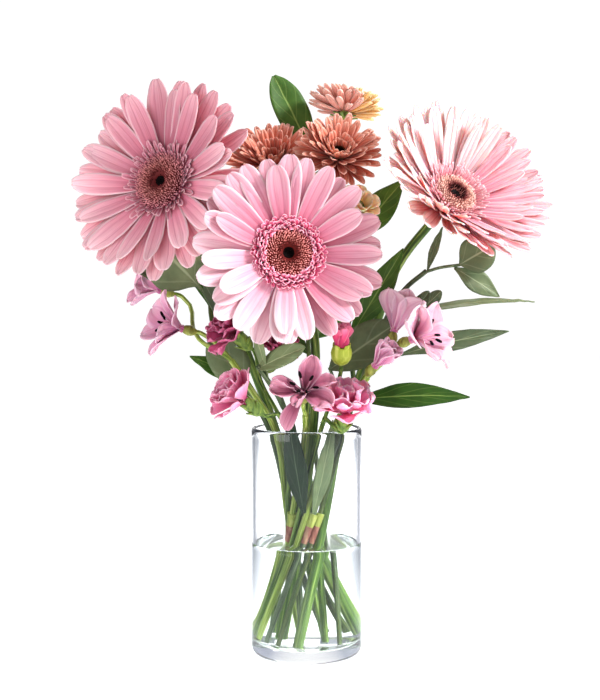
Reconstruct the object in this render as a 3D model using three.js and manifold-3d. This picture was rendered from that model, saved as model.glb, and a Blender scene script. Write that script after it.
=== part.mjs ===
// A bouquet of gerberas in a clear glass cylinder vase, half full of water.
// Three large pink gerberas stand over small coral ones, alstroemeria, carnations, ruscus and eucalyptus.
// Millimetres, +Z up. The origin is the middle of the vase's underside, and the blooms face -Y.
import * as THREE from "three";
import { mergeVertices } from "three/addons/utils/BufferGeometryUtils.js";
import Module from "manifold-3d";

const wasm = await Module();
wasm.setup();

// Vase and water
const VASE_RADIUS = 38;
const VASE_HEIGHT = 156;
const WALL = 2.5;
const FLOOR = 8.5;
const FOOT_BEVEL = 4;
const RIM_BEVEL = 1;
const FLOOR_BEVEL = 4;
const VASE_SIDES = 32;
const WATER_LEVEL = 76;
const GAP = 0.3;
const HOLE_CLEARANCE = 0.35;

// In the vase the stems cross in a waist just above the water, in an outer and an inner shell.
// Each runs straight from its foot to the mouth. Lean is its sideways run for each millimetre of height.
const WAIST_HEIGHT = 84;
const FOOT_HEIGHT = FLOOR + 2.2;
const STRAIGHT_TO = WATER_LEVEL + 24;
const OUTER = { waist: 13, lean: 0.3287 };
const INNER = { waist: 5.6, lean: 0.163 };

// Radii of stems. Thick ones have six sides and thin ones four.
const GERBERA_STEM = 3.3;
const SPRAY_STEM = 2.1;
const LEAFY_STEM = 1.7;
const PEDICEL = 1.5;
const CARNATION_STALK = 1.4;
const TWIG = 1.1;
const THICK = 3;
const THIN = 1.5;

// What grows flat
const PETAL_THICK = 0.8;
const BRACT_THICK = 0.9;
const LEAF_THICK = 1;
const SMALLEST_EDGE = 0.12;

// Outlines of petals and leaves, from root to tip: the share of the length, and the share of the width
const RAY = [[0, 0.5], [0.55, 1], [0.91, 0.8], [1, 0]];
const STRAP = [[0, 0.55], [0.62, 1], [1, 0]];
const CLUB = [[0, 0.28], [0.74, 1], [1, 0]];
const LANCE = [[0, 0.12], [0.14, 0.3], [0.42, 1], [0.76, 0.66], [1, 0]];
const ROUND = [[0, 0.06], [0.16, 0.09], [0.26, 0.62], [0.52, 1], [0.84, 0.74], [1, 0]];
const BROAD = [[0, 0.12], [0.12, 0.5], [0.46, 1], [0.84, 0.7], [1, 0]];
const TEPAL = [[0, 0.24], [0.6, 1], [0.88, 0.72], [1, 0]];
const STAMEN = [[0, 0.45], [0.86, 1], [1, 0]];

const TURN = 2 * Math.PI;
const RAD = Math.PI / 180;
const UP = new THREE.Vector3(0, 0, 1);
const vec = ([x, y, z]) => new THREE.Vector3(x, y, z);

function sidesOf(radius) {
  if (radius > THICK) return 6;
  return radius < THIN ? 4 : 5;
}

// Repeatable rolls between -0.5 and 0.5
function dice(seed) {
  let state = seed;
  return () => {
    state = (state * 16807) % 2147483647;
    return state / 2147483647 - 0.5;
  };
}

function solid(geometry) {
  const loose = geometry.index ? geometry.toNonIndexed() : geometry;
  const bare = new THREE.BufferGeometry().setAttribute("position", loose.getAttribute("position"));
  const merged = mergeVertices(bare, 1e-4);
  const vertProperties = merged.attributes.position.array;
  const triVerts = new Uint32Array(merged.index.array);
  const build = () => new wasm.Manifold(new wasm.Mesh({ numProp: 3, vertProperties, triVerts }));
  const made = build();
  if (made.volume() > 0) return made;
  for (let i = 0; i < triVerts.length; i += 3) {
    [triVerts[i + 1], triVerts[i + 2]] = [triVerts[i + 2], triVerts[i + 1]];
  }
  return build();
}

function geometryOf(body) {
  const { vertProperties, triVerts, numProp, numVert } = body.getMesh();
  const places = new Float32Array(numVert * 3);
  for (let i = 0; i < numVert; i += 1) {
    places.set(vertProperties.subarray(i * numProp, i * numProp + 3), i * 3);
  }
  return new THREE.BufferGeometry()
    .setAttribute("position", new THREE.BufferAttribute(places, 3))
    .setIndex(new THREE.BufferAttribute(triVerts, 1));
}

// Everything that grows together, as one body
function grow(geometries) {
  const whole = geometries.map(solid).reduce((sum, next) => sum.add(next));
  if (whole.decompose().length > 1) throw new Error("a leaf or twig hangs loose");
  return geometryOf(whole.asOriginal().simplify(SMALLEST_EDGE));
}

// A profile of radius and height, turned about Z
function turned(profile, segments) {
  const points = profile.map(([radius, height]) => new THREE.Vector2(radius, height));
  return new THREE.LatheGeometry(points, segments).rotateX(Math.PI / 2);
}

// A tube of few sides along a smooth curve. Rings is the number of cross-sections from point to point.
function tube(points, radius, rings = 1) {
  const curve = new THREE.CatmullRomCurve3(points, false, "centripetal");
  curve.getUtoTmapping = (share) => share;
  const sides = sidesOf(radius);
  const rim = Array.from({ length: sides }, (_, i) => {
    const turn = (i / sides) * TURN;
    return new THREE.Vector2(radius * Math.cos(turn), radius * Math.sin(turn));
  });
  const steps = rings * (points.length - 1);
  return new THREE.ExtrudeGeometry(new THREE.Shape(rim), { steps, extrudePath: curve, bevelEnabled: false });
}

// A petal or leaf that grows from the origin along +Y and faces +Z. It starts at the angle rise and
// bends by curl.
// Three sides make a flat face over a keel, and four make a ridge on both faces. Fold lifts the two edges.
function blade({ length, width, outline, thick = PETAL_THICK, sides = 3, rise = 0, curl = 0, fold = 0 }) {
  const rows = outline.length - 1;
  const geometry = new THREE.ConeGeometry(1, 1, sides, rows);
  const place = geometry.attributes.position;
  const edge = sides === 3 ? { x: Math.sqrt(3) / 2, z: -0.5, keel: thick } : { x: 1, z: 0, keel: thick / 2 };
  const start = rise * RAD;
  const bow = length / ((curl || 0.01) * RAD);
  for (let i = 0; i < place.count; i += 1) {
    const row = Math.round((place.getY(i) + 0.5) * rows);
    const ring = Math.max(1 - row / rows, 1e-6);
    const [along, share] = outline[row];
    const across = (-place.getX(i) / ring / edge.x) * share * (width / 2);
    const onAxis = row === rows || (place.getX(i) === 0 && place.getZ(i) === 0);
    const below = onAxis ? 0 : ((place.getZ(i) / ring - edge.z) / (1 - edge.z)) * edge.keel;
    const lift = fold * Math.abs(across) - below * Math.min(1, 0.35 + share);
    const angle = start + (along * length) / bow;
    const y = bow * (Math.sin(angle) - Math.sin(start)) - lift * Math.sin(angle);
    const z = bow * (Math.cos(start) - Math.cos(angle)) + lift * Math.cos(angle);
    place.setXYZ(i, across, y, z);
  }
  return geometry;
}

// A leaf from its joint with a stem to its tip. Its face is turned towards facing, and arch bends its back.
function leaf({ from, to, facing, width, outline = LANCE, arch = 20, fold = 0.18 }) {
  const root = vec(from);
  const along = vec(to).sub(root);
  const chord = along.length();
  const half = (arch / 2) * RAD;
  along.normalize();
  const face = vec(facing);
  face.addScaledVector(along, -face.dot(along)).normalize();
  const across = new THREE.Vector3().crossVectors(along, face);
  const pose = new THREE.Matrix4().makeBasis(across, along, face).setPosition(root);
  const length = (chord * half) / Math.sin(half);
  const shape = { length, width, outline, thick: LEAF_THICK, sides: 4, rise: arch / 2, curl: -arch, fold };
  return blade(shape).applyMatrix4(pose);
}

// Count copies of a blade round Z, each rooted at radius and height. Spin is in degrees and step in copies.
function rosette({ count, radius, height, spin = 0, step = 0 }, make) {
  return Array.from({ length: count }, (_, i) =>
    make(i)
      .translate(0, radius, height)
      .rotateZ(spin * RAD + ((i + step) / count) * TURN),
  );
}

// A bloom's own frame has its seat at the origin and looks along +Z.
function frameOf({ at, facing }) {
  const turn = new THREE.Quaternion().setFromUnitVectors(UP, vec(facing).normalize());
  return new THREE.Matrix4().compose(vec(at), turn, new THREE.Vector3(1, 1, 1));
}

const inFrame = (bloom, pieces) => pieces.map((piece) => piece.applyMatrix4(frameOf(bloom)));
const behind = (bloom, depth) => new THREE.Vector3(0, 0, -depth).applyMatrix4(frameOf(bloom));

// Large gerbera: a receptacle, two layers of rays, a frill of short florets and a raised disc
const RECEPTACLE_RADIUS = 18.6;
const RECEPTACLE = [[0, -5.3], [13, -5.3], [RECEPTACLE_RADIUS, -2.6], [RECEPTACLE_RADIUS, 0], [0, 0]];
const RAY_ROOT = RECEPTACLE_RADIUS - 1.2;
const RAY_LAYERS = [
  { height: -2.4, rise: 7, curl: 12, step: 0, share: 1 },
  { height: -0.7, rise: 15, curl: 12, step: 0.5, share: 0.95 },
];
const FRILL = { count: 16, height: -0.5, radius: 16.4 };
const FRILL_FLORETS = [{ length: 7, rise: 62 }, { length: 9.5, rise: 36 }];
const DISC = [[0, GAP], [16, GAP], [16.4, 1.8], [13.4, 4.4], [9.4, 5], [5.2, 4], [0, 2]];
const DISC_RELIEF = 0.5;
const DISC_SEGMENTS = 24;
const GERBERA_CUP = [[0, -16], [GERBERA_STEM + 0.4, -16], [8, -11.5], [12.4, -5.9], [0, -5.9]];
const GERBERA_BRACTS = { count: 9, radius: 8.4, height: -9.2 };

// Cup lifts all the rays of a head, and missing is the outer ray that it has lost.
function gerberaRays({ reach, count, width, spin, cup = 0, missing = -1, seed }) {
  const roll = dice(seed);
  const rays = RAY_LAYERS.flatMap((layer, depth) =>
    rosette({ ...layer, count, radius: RAY_ROOT, spin }, () =>
      blade({
        length: (reach - RAY_ROOT) * layer.share * (1 + 0.05 * roll()),
        width: width * (1 + 0.08 * roll()),
        outline: RAY,
        rise: layer.rise + cup + 3 * roll(),
        curl: layer.curl + 6 * roll(),
        fold: 0.12,
      }),
    ).filter((_, i) => depth > 0 || i !== missing),
  );
  const frill = rosette(FRILL, (i) => {
    const floret = FRILL_FLORETS[i % FRILL_FLORETS.length];
    return blade({
      length: floret.length * (1 + 0.2 * roll()),
      width: 3.6,
      outline: STRAP,
      rise: floret.rise + 6 * roll(),
      curl: -18,
    });
  });
  return grow([turned(RECEPTACLE, count), ...rays, ...frill]);
}

// The florets of the disc are too fine to stand alone. They are a relief that alternates between points.
function gerberaDisc() {
  const geometry = turned(DISC, DISC_SEGMENTS);
  const place = geometry.attributes.position;
  for (let i = 0; i < place.count; i += 1) {
    const segment = Math.round((Math.atan2(place.getY(i), place.getX(i)) / TURN) * DISC_SEGMENTS);
    const ring = i % DISC.length;
    const onTop = ring > 1 && ring < DISC.length - 1;
    if (onTop && (segment + ring) % 2 !== 0) place.setZ(i, place.getZ(i) + DISC_RELIEF);
  }
  return geometry;
}

function gerberaCalyx() {
  const bract = { length: 11.5, width: 5, outline: STRAP, rise: 8, curl: -4, thick: BRACT_THICK };
  return [turned(GERBERA_CUP, GERBERA_BRACTS.count), ...rosette(GERBERA_BRACTS, () => blade(bract))];
}

// Small bloom: cupped layers of narrow petals on a core, round an eye
const CORE = [[0, -5.5], [4.2, -5.5], [5.6, -3], [5.2, 0], [0, 0]];
const CORE_RADIUS = 4.7;
const CORAL_LAYERS = [
  { count: 12, height: -3.4, rise: 6, share: 1, step: 0 },
  { count: 11, height: -2, rise: 28, share: 0.98, step: 0.4 },
  { count: 8, height: -0.6, rise: 54, share: 0.72, step: 0.1 },
];
const PEACH_LAYERS = [
  { count: 8, height: -3, rise: 12, share: 1, step: 0 },
  { count: 6, height: -1.2, rise: 42, share: 0.9, step: 0.5 },
];
const EYE = [[0, GAP], [3.4, GAP], [3.6, 1.2], [2.2, 2.4], [0, 2.8]];
const CORAL_CUP = [[0, -10], [1.8, -10], [4.9, -5.8], [0, -5.8]];
const CORAL_BRACTS = { count: 4, radius: 3, height: -7.6 };

function smallPetals({ reach, layers = CORAL_LAYERS, seed }) {
  const roll = dice(seed);
  const petals = layers.flatMap((layer) =>
    rosette({ ...layer, radius: CORE_RADIUS }, () =>
      blade({
        length: (reach - CORE_RADIUS) * layer.share * (1 + 0.1 * roll()),
        width: 6.6,
        outline: CLUB,
        rise: layer.rise + 6 * roll(),
        curl: 14 + 8 * roll(),
        fold: 0.15,
      }),
    ),
  );
  return grow([turned(CORE, 8), ...petals]);
}

function coralCalyx() {
  const bract = { length: 9, width: 4, outline: CLUB, rise: 2, thick: BRACT_THICK };
  return [turned(CORAL_CUP, 6), ...rosette(CORAL_BRACTS, () => blade(bract))];
}

// Alstroemeria: three broad tepals and three narrow ones on a throat.
// Open is how far the bloom has opened, in degrees.
const THROAT_HEIGHT = 4.6;
const THROAT = [[0, 0], [2.8, 0], [2, THROAT_HEIGHT], [0, THROAT_HEIGHT]];
const TEPALS = [
  { count: 3, radius: 1, height: 1.6, step: 0, width: 0.6, lean: 0 },
  { count: 3, radius: 1, height: 2.4, step: 0.5, width: 0.42, lean: 4 },
];
const STAMEN_SEAT = [[0, THROAT_HEIGHT + GAP], [1.5, THROAT_HEIGHT + GAP], [0, THROAT_HEIGHT + 2]];
const STAMENS = { count: 5, radius: 0.8, height: THROAT_HEIGHT + 0.6, spin: 17 };
const OVARY = [[0, -10], [1.6, -10], [3.6, -5], [2.2, -GAP], [0, -GAP]];

// A bloom with a hanging tepal lets it droop out of the ring, at the turn hanging.
const HANGING = { length: 1.15, width: 0.42, rise: 8, curl: -74 };

function alstroemeriaTepals({ open, reach, spin = 0, hanging, seed }) {
  const roll = dice(seed);
  const tepals = TEPALS.flatMap((layer) =>
    rosette({ ...layer, spin }, () =>
      blade({
        length: reach * (1 + 0.1 * roll()),
        width: layer.width * reach,
        outline: TEPAL,
        rise: 90 - open * 0.62 + layer.lean,
        curl: -open * 0.6 + 14 * roll(),
        fold: 0.18,
      }),
    ),
  );
  if (hanging) {
    const { length, width, rise, curl } = HANGING;
    const shape = { length: length * reach, width: width * reach, outline: TEPAL, rise, curl, fold: 0.18 };
    tepals.push(...rosette({ count: 1, radius: 1, height: 1.6, spin: hanging }, () => blade(shape)));
  }
  return grow([turned(THROAT, 6), ...tepals]);
}

function alstroemeriaStamens({ open, reach, seed }) {
  const roll = dice(seed + 5);
  const stamens = rosette(STAMENS, () =>
    blade({
      length: reach * (0.3 + 0.004 * open + 0.12 * roll()),
      width: 2,
      thick: 1.2,
      outline: STAMEN,
      rise: 90 - open * 0.25,
      curl: -open * 0.2 + 6 * roll(),
    }),
  );
  return grow([turned(STAMEN_SEAT, 5), ...stamens]);
}

// Carnation: fans with toothed, rippled edges, from nearly flat outer ones to upright inner ones
const CLAW = [[0, 0], [3.6, 0], [2.6, 6], [0, 6]];
const FANS = [
  { count: 4, radius: 1.6, height: 1.2, rise: 12, share: 1, width: 1.25, step: 0 },
  { count: 3, radius: 1.6, height: 3, rise: 40, share: 0.95, width: 1.11, step: 0.24 },
  { count: 2, radius: 1.6, height: 4.8, rise: 70, share: 0.85, width: 0.97, step: 0.06 },
];
const FAN_TEETH = 4;
const FAN_ROOT = 0.16;
const CARNATION_CUP = [[0, -15], [2, -15], [4.8, -10], [4.4, -GAP], [0, -GAP]];
const SCALES = { count: 2, radius: 2.4, height: -12.5 };

function fan({ length, width, rise, ripple }) {
  const geometry = new THREE.BoxGeometry(1, 1, PETAL_THICK, FAN_TEETH, 1, 1);
  const place = geometry.attributes.position;
  for (let i = 0; i < place.count; i += 1) {
    const side = place.getX(i);
    const along = place.getY(i) + 0.5;
    const tooth = Math.round((side + 0.5) * FAN_TEETH) % 2 === 0 ? 1 : -1;
    const across = side * width * (FAN_ROOT + (1 - FAN_ROOT) * along);
    const out = length * along * (1 - 0.5 * side * side) * (1 + 0.05 * tooth * along);
    place.setXYZ(i, across, out, place.getZ(i) + ripple * tooth * along);
  }
  return geometry.rotateX(rise * RAD);
}

function carnationPetals({ reach, cup, seed }) {
  const roll = dice(seed);
  const fans = FANS.flatMap((layer) =>
    rosette(layer, () =>
      fan({
        length: reach * layer.share * (1 + 0.15 * roll()),
        width: reach * layer.width,
        rise: layer.rise + cup * (1 - layer.rise / 90) + 8 * roll(),
        ripple: 1.6 + 0.8 * roll(),
      }),
    ),
  );
  return grow([turned(CLAW, 6), ...fans]);
}

function carnationCalyx({ cupProfile = CARNATION_CUP }) {
  const scale = { length: 9, width: 6, outline: STRAP, rise: 58, curl: 14, thick: BRACT_THICK };
  return [turned(cupProfile, 6), ...rosette(SCALES, () => blade(scale))];
}

// A closed bud: a drop with twisted pleats
const BUD_PLEATS = 5;
const BUD_TWIST = 2.4;
const PLEAT_DEPTH = 0.14;
const BUD_CUP = [[0, -13], [2, -13], [6.2, -9.5], [6.9, -4.5], [5.6, -GAP], [0, -GAP]];

function budPetals({ reach }) {
  const drop = [[0, 0], [4.8, 0], [5.8, reach * 0.35], [4.6, reach * 0.7], [0, reach]];
  const geometry = turned(drop, 2 * BUD_PLEATS);
  const place = geometry.attributes.position;
  for (let i = 0; i < place.count; i += 1) {
    const [x, y, z] = [place.getX(i), place.getY(i), place.getZ(i)];
    const swell = 1 + PLEAT_DEPTH * Math.sin(Math.atan2(y, x) * BUD_PLEATS + (z / reach) * BUD_TWIST);
    place.setXYZ(i, x * swell, y * swell, z);
  }
  return geometry;
}

// Where each bloom sits, which way it looks and how far its petals reach
const gerberas = {
  front: {
    at: [-12, -62, 272], facing: [0.19, -0.97, 0.13],
    reach: 62, count: 15, width: 13.5, spin: 0, missing: 13, seed: 11,
  },
  left: {
    at: [-95.5, -28, 321], facing: [-0.45, -0.86, 0.24],
    reach: 69, count: 17, width: 12.6, spin: 10, seed: 23,
  },
  right: {
    at: [97, -28, 312], facing: [0.4, -0.76, 0.52],
    reach: 67, count: 18, width: 11.4, spin: 0, cup: 15, seed: 37,
  },
};
const corals = {
  left: { at: [-24, 26, 341], facing: [-0.12, -0.72, 0.68], reach: 34, seed: 41 },
  middle: { at: [21.5, -10, 342], facing: [0.1, -0.8, 0.6], reach: 31, seed: 43 },
  back: { at: [28, 42, 382], facing: [0.15, 0.05, 0.98], reach: 28, seed: 47 },
};
const peach = { at: [35, -22, 306], facing: [0.45, -0.7, 0.5], reach: 16, layers: PEACH_LAYERS, seed: 53 };
const alstroemerias = {
  front: { at: [-2, -54, 182], facing: [0.04, -0.86, 0.5], reach: 24, open: 76, hanging: 148, seed: 59 },
  right: { at: [67, -45, 217], facing: [0.78, -0.5, 0.32], reach: 30, open: 70, spin: 20, seed: 61 },
  upper: { at: [57, -36, 222], facing: [0.25, 0.05, 0.96], reach: 29, open: 32, seed: 67 },
  left: { at: [-82, -31, 224], facing: [-0.88, -0.4, 0.24], reach: 27, open: 62, seed: 71 },
  far: { at: [-101, 5, 250], facing: [-0.85, -0.3, 0.25], reach: 23, open: 50, seed: 73 },
};
const halfOpen = { at: [44, -44, 200], facing: [0.5, -0.6, 0.62], reach: 21, open: 18, seed: 69 };
const carnations = {
  upper: { at: [-46, -40, 220], facing: [-0.62, -0.5, 0.6], reach: 17, cup: 12, seed: 79 },
  left: { at: [-40, -46, 177], facing: [-0.7, -0.45, 0.55], reach: 20, cup: 24, seed: 83 },
  right: { at: [24.5, -45, 169], facing: [0.05, -0.6, 0.8], reach: 21, cup: 20, seed: 89 },
  middle: { at: [-20, -28, 208], facing: [0.42, -0.3, 0.86], reach: 13, cup: 0, seed: 97 },
};
const bud = { at: [22.5, -44, 213], facing: [0.02, -0.3, 0.95], reach: 12, cupProfile: BUD_CUP };

// Leaves, each from its joint with the stem to its tip
const FRONT = [0, -1, 0.15];
const leaves = {
  ruscus_back: [
    { from: [3, 52, 352], to: [-24, 51, 407], facing: [0.2, -1, 0.2], width: 25, outline: BROAD, arch: 14 },
    { from: [0, 42, 252], to: [40, 68, 290], facing: [0.3, -0.6, 0.7], width: 20 },
    { from: [-1, 46.5, 285], to: [-44, 74, 318], facing: [-0.3, -0.6, 0.7], width: 20 },
    { from: [2, 34, 205], to: [-32, 66, 232], facing: [-0.3, -0.5, 0.7], width: 19 },
    { from: [2, 36, 215], to: [38, 64, 236], facing: [0.3, -0.5, 0.7], width: 19 },
    { from: [-2, 50, 312], to: [24, 74, 346], facing: [0.2, -0.6, 0.7], width: 18 },
  ],
  ruscus_right: [
    { from: [32, -10, 175], to: [108, -32, 177], facing: [0, -0.85, 0.6], width: 19, arch: 26 },
    { from: [29, -13, 218], to: [65, -12, 278], facing: [0.1, -1, 0.1], width: 19, arch: 22 },
    { from: [31, 3, 283], to: [68, 14, 327], facing: [-0.1, -1, 0.1], width: 22, arch: 16 },
    { from: [31, 4, 285], to: [36, 3, 320], facing: FRONT, width: 8 },
  ],
  ruscus_left: [
    { from: [-46, -5, 189], to: [-79, -18, 205], facing: [0.2, -0.9, 0.4], width: 13 },
    { from: [-66, 3, 238], to: [-84, 12, 292], facing: [0.3, -1, 0], width: 17 },
    { from: [-62, 12, 286], to: [-49, 22, 334], facing: FRONT, width: 17 },
    { from: [-63, 10, 274], to: [-75, 6, 317], facing: [-0.4, -1, 0], width: 9 },
  ],
  eucalyptus_left: [
    {
      from: [-69, -14, 248], to: [-104, -24, 285], facing: [0.1, -1, 0.25],
      width: 42, outline: ROUND, fold: 0.08,
    },
    { from: [-69, -14, 249], to: [-119, -12, 272], facing: [-0.2, -0.9, 0.5], width: 22, outline: ROUND },
    { from: [-61, -14, 233], to: [-58, -27, 273], facing: [-0.3, -1, -0.2], width: 18 },
    { from: [-37, -14, 181], to: [-64, -16, 219], facing: [-0.2, -1, 0.1], width: 26, outline: ROUND },
  ],
  eucalyptus_front: [
    { from: [-25, -37, 189], to: [-33, -47, 238], facing: [-0.8, -0.6, -0.1], width: 12, arch: 16 },
    {
      from: [-32, -41, 198], to: [-1, -56, 212], facing: [0.1, -0.75, 0.6],
      width: 16, outline: BROAD, arch: 12,
    },
  ],
  eucalyptus_right: [
    {
      from: [15.6, -24, 197], to: [59, -27, 227], facing: [-0.2, -1, 0.1],
      width: 27, outline: BROAD, arch: 16,
    },
    { from: [62, -17, 232], to: [153, -18, 240], facing: [0, -0.35, 0.95], width: 12, arch: 22 },
    { from: [69, -18, 233], to: [81, -26, 249], facing: [0.4, -0.9, 0.3], width: 9, outline: ROUND },
    { from: [75, -18, 235], to: [90, -20, 249], facing: [0.3, -0.9, 0.3], width: 9, outline: ROUND },
    { from: [62, -17, 206], to: [137, -10, 221], facing: [0, -0.9, 0.45], width: 14, arch: 24 },
    { from: [81, -15, 262], to: [92, -14, 292], facing: [-0.5, -0.8, 0], width: 6 },
    {
      from: [100, -10, 265], to: [126, -14, 280], facing: [0.1, -1, 0.2],
      width: 25, outline: ROUND, fold: 0.08,
    },
    { from: [100, -10, 265], to: [131, -5, 245], facing: [0.1, -1, 0.3], width: 16 },
    { from: [3.7, -13, 95], to: [17, -31, 164], facing: [0.4, -0.9, 0.3], width: 12, arch: 10 },
  ],
  alstroemeria_right: [
    { from: [-1.2, -13.4, 95], to: [-12, -33, 170], facing: [-0.3, -0.95, 0.3], width: 15, arch: 10 },
  ],
};

// Twigs that carry the eucalyptus leaves out from their stem
const eucalyptusTwigs = [
  [[27.5, -13.8, 165], [22, -20, 181], [15, -23.6, 198]],
  [[52, -12, 226], [62, -17, 232], [77, -18, 235]],
  [[41, -14, 198], [52, -16, 203], [70, -17.5, 208]],
  [[80, -15.5, 262], [90, -12, 265], [104, -10, 267]],
];

// Foot to mouth of a stem that leaves the vase at the angle mouth, seen from above
function course({ shell, mouth }) {
  const half = Math.atan((shell.lean * (VASE_HEIGHT - WAIST_HEIGHT)) / shell.waist);
  const turn = mouth * RAD - half;
  return [FOOT_HEIGHT, STRAIGHT_TO, VASE_HEIGHT].map((z) =>
    new THREE.Vector3(shell.waist, shell.lean * (z - WAIST_HEIGHT), z).applyAxisAngle(UP, turn),
  );
}

// The last stretch of a stem comes in square under its bloom, from neck to sink below the bloom's seat.
const under = (bloom, { neck, sink }) => [behind(bloom, neck), behind(bloom, sink)];
const GERBERA_NECK = { neck: 26, sink: 12 };
const CORAL_NECK = { neck: 18, sink: 8 };
const PEACH_NECK = { neck: 16, sink: 8 };
const TEPAL_NECK = { neck: 14, sink: 6 };
const LONG_NECK = { neck: 16, sink: 6 };
const SHORT_NECK = { neck: 12, sink: 5 };
const CARNATION_NECK = { neck: 18, sink: 12 };
const RIM_NECK = { neck: 16, sink: 12 };

const branch = (points, bloom, neck, radius) => tube([...points.map(vec), ...under(bloom, neck)], radius);

function gerberaStem(side, stem) {
  const bloom = gerberas[side];
  const points = [...course(stem), ...stem.via.map(vec), ...under(bloom, GERBERA_NECK)];
  return grow([tube(points, GERBERA_STEM, 2), ...inFrame(bloom, gerberaCalyx())]);
}

function leafyStem(name, stem, extra = []) {
  const main = tube([...course(stem), ...stem.via.map(vec)], stem.radius);
  return grow([main, ...(leaves[name] ?? []).map(leaf), ...extra]);
}

function coralBranches() {
  const fork = [[10, 20, 240], [14, 18, 275]];
  return [
    branch([...fork, [4, 28, 304]], corals.left, CORAL_NECK, TWIG),
    branch([...fork, [17, 14, 310]], corals.middle, CORAL_NECK, TWIG),
    branch([...fork, [21, 32, 320], [27, 41, 350]], corals.back, CORAL_NECK, TWIG),
    branch([...fork, [23, 4, 290]], peach, PEACH_NECK, TWIG),
    ...[...Object.values(corals), peach].flatMap((bloom) => inFrame(bloom, coralCalyx())),
  ];
}

function pedicel(points, bloom, neck = TEPAL_NECK) {
  return [branch(points, bloom, neck, PEDICEL), ...inFrame(bloom, [turned(OVARY, 6)])];
}

function stalk(points, bloom, neck = CARNATION_NECK) {
  return [branch(points, bloom, neck, CARNATION_STALK), ...inFrame(bloom, carnationCalyx(bloom))];
}

// Stems: the shell and the mouth angle that they have in the vase, and the points that they pass above it
const gerberaStems = {
  front: { shell: INNER, mouth: 290, via: [[6, -18, 195], [4, -22, 225], [-6, -24, 252]] },
  left: { shell: OUTER, mouth: 148, via: [[-35, 10, 190], [-52, 4, 235], [-70, -4, 280]] },
  right: { shell: OUTER, mouth: 21, via: [[37, 8, 190], [48, 8, 225], [62, 4, 265]] },
};
const sprays = {
  coral: {
    shell: INNER, mouth: 90, radius: SPRAY_STEM, via: [[4, 18, 200], [10, 20, 240], [14, 18, 275]],
    extra: coralBranches,
  },
  ruscus_back: {
    shell: OUTER, mouth: 80, radius: LEAFY_STEM,
    via: [[2, 34, 200], [0, 42, 250], [-2, 50, 310], [3, 52, 356]],
  },
  ruscus_right: {
    shell: OUTER, mouth: 353, radius: LEAFY_STEM,
    via: [[32, -10, 178], [30, -14, 205], [28, -10, 240], [31, 4, 286]],
  },
  ruscus_left: {
    shell: OUTER, mouth: 175, radius: LEAFY_STEM,
    via: [[-40, -4, 180], [-56, -5, 205], [-66, 2, 235], [-62, 12, 288]],
  },
  eucalyptus_left: {
    shell: OUTER, mouth: 196, radius: LEAFY_STEM,
    via: [[-38, -14, 182], [-52, -16, 215], [-62, -14, 236], [-70, -14, 250]],
  },
  eucalyptus_front: {
    shell: INNER, mouth: 228, radius: LEAFY_STEM, via: [[-16, -23, 172], [-20, -32, 181], [-32, -42, 200]],
  },
  eucalyptus_right: {
    shell: OUTER, mouth: 332, radius: LEAFY_STEM,
    via: [[34, -15, 178], [43, -14, 205], [53, -12, 229], [66, -11, 250], [81, -13, 263]],
    extra: () => eucalyptusTwigs.map((points) => tube(points.map(vec), TWIG)),
  },
  alstroemeria_left: {
    shell: OUTER, mouth: 217, radius: SPRAY_STEM, via: [[-36, -25, 182], [-50, -28, 203]],
    extra: () => [
      ...pedicel([[-36, -25, 182], [-50, -28, 203]], alstroemerias.left),
      ...pedicel([[-36, -25, 182], [-50, -28, 203], [-72, -22, 217]], alstroemerias.far, LONG_NECK),
    ],
  },
  alstroemeria_front: {
    shell: OUTER, mouth: 268, radius: SPRAY_STEM, via: [[-1, -32, 167]],
    extra: () => pedicel([[-1, -32, 167]], alstroemerias.front),
  },
  alstroemeria_right: {
    shell: OUTER, mouth: 311, radius: SPRAY_STEM, via: [[28, -29, 176], [40, -33, 192]],
    extra: () => [
      ...pedicel([[28, -29, 176], [40, -33, 192], [50, -36, 205]], alstroemerias.right),
      ...pedicel([[28, -29, 176], [40, -33, 192]], alstroemerias.upper, LONG_NECK),
      ...pedicel([[28, -29, 176]], halfOpen, SHORT_NECK),
    ],
  },
  carnation_left: {
    shell: OUTER, mouth: 242, radius: LEAFY_STEM, via: [[-19, -31, 168]],
    extra: () => [
      ...stalk([[-19, -31, 168]], carnations.left),
      ...stalk([[-19, -31, 168], [-31, -25, 190]], carnations.upper),
    ],
  },
  carnation_right: {
    shell: OUTER, mouth: 290, radius: LEAFY_STEM, via: [[12, -31, 165]],
    extra: () => [
      ...stalk([[12, -31, 165]], carnations.right, RIM_NECK),
      ...stalk([[12, -31, 165], [17, -31, 180]], bud),
    ],
  },
  carnation_middle: {
    shell: INNER, mouth: 180, radius: LEAFY_STEM, via: [[-17, -10, 175], [-24, -20, 186]],
    extra: () => stalk([[-17, -10, 175], [-24, -20, 186]], carnations.middle),
  },
};

// From the middle of the underside: foot, outer wall, rounded rim, inner wall, softened corner and floor
function vase() {
  const inner = VASE_RADIUS - WALL;
  const profile = [
    [0, 0],
    [VASE_RADIUS - 3.5, 0],
    [VASE_RADIUS - 1, 1.2],
    [VASE_RADIUS, FOOT_BEVEL],
    [VASE_RADIUS, VASE_HEIGHT - RIM_BEVEL],
    [VASE_RADIUS - 0.8, VASE_HEIGHT],
    [inner + 0.8, VASE_HEIGHT],
    [inner, VASE_HEIGHT - RIM_BEVEL],
    [inner, FLOOR + FLOOR_BEVEL],
    [inner - 3, FLOOR],
    [0, FLOOR],
  ];
  return turned(profile, VASE_SIDES);
}

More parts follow.
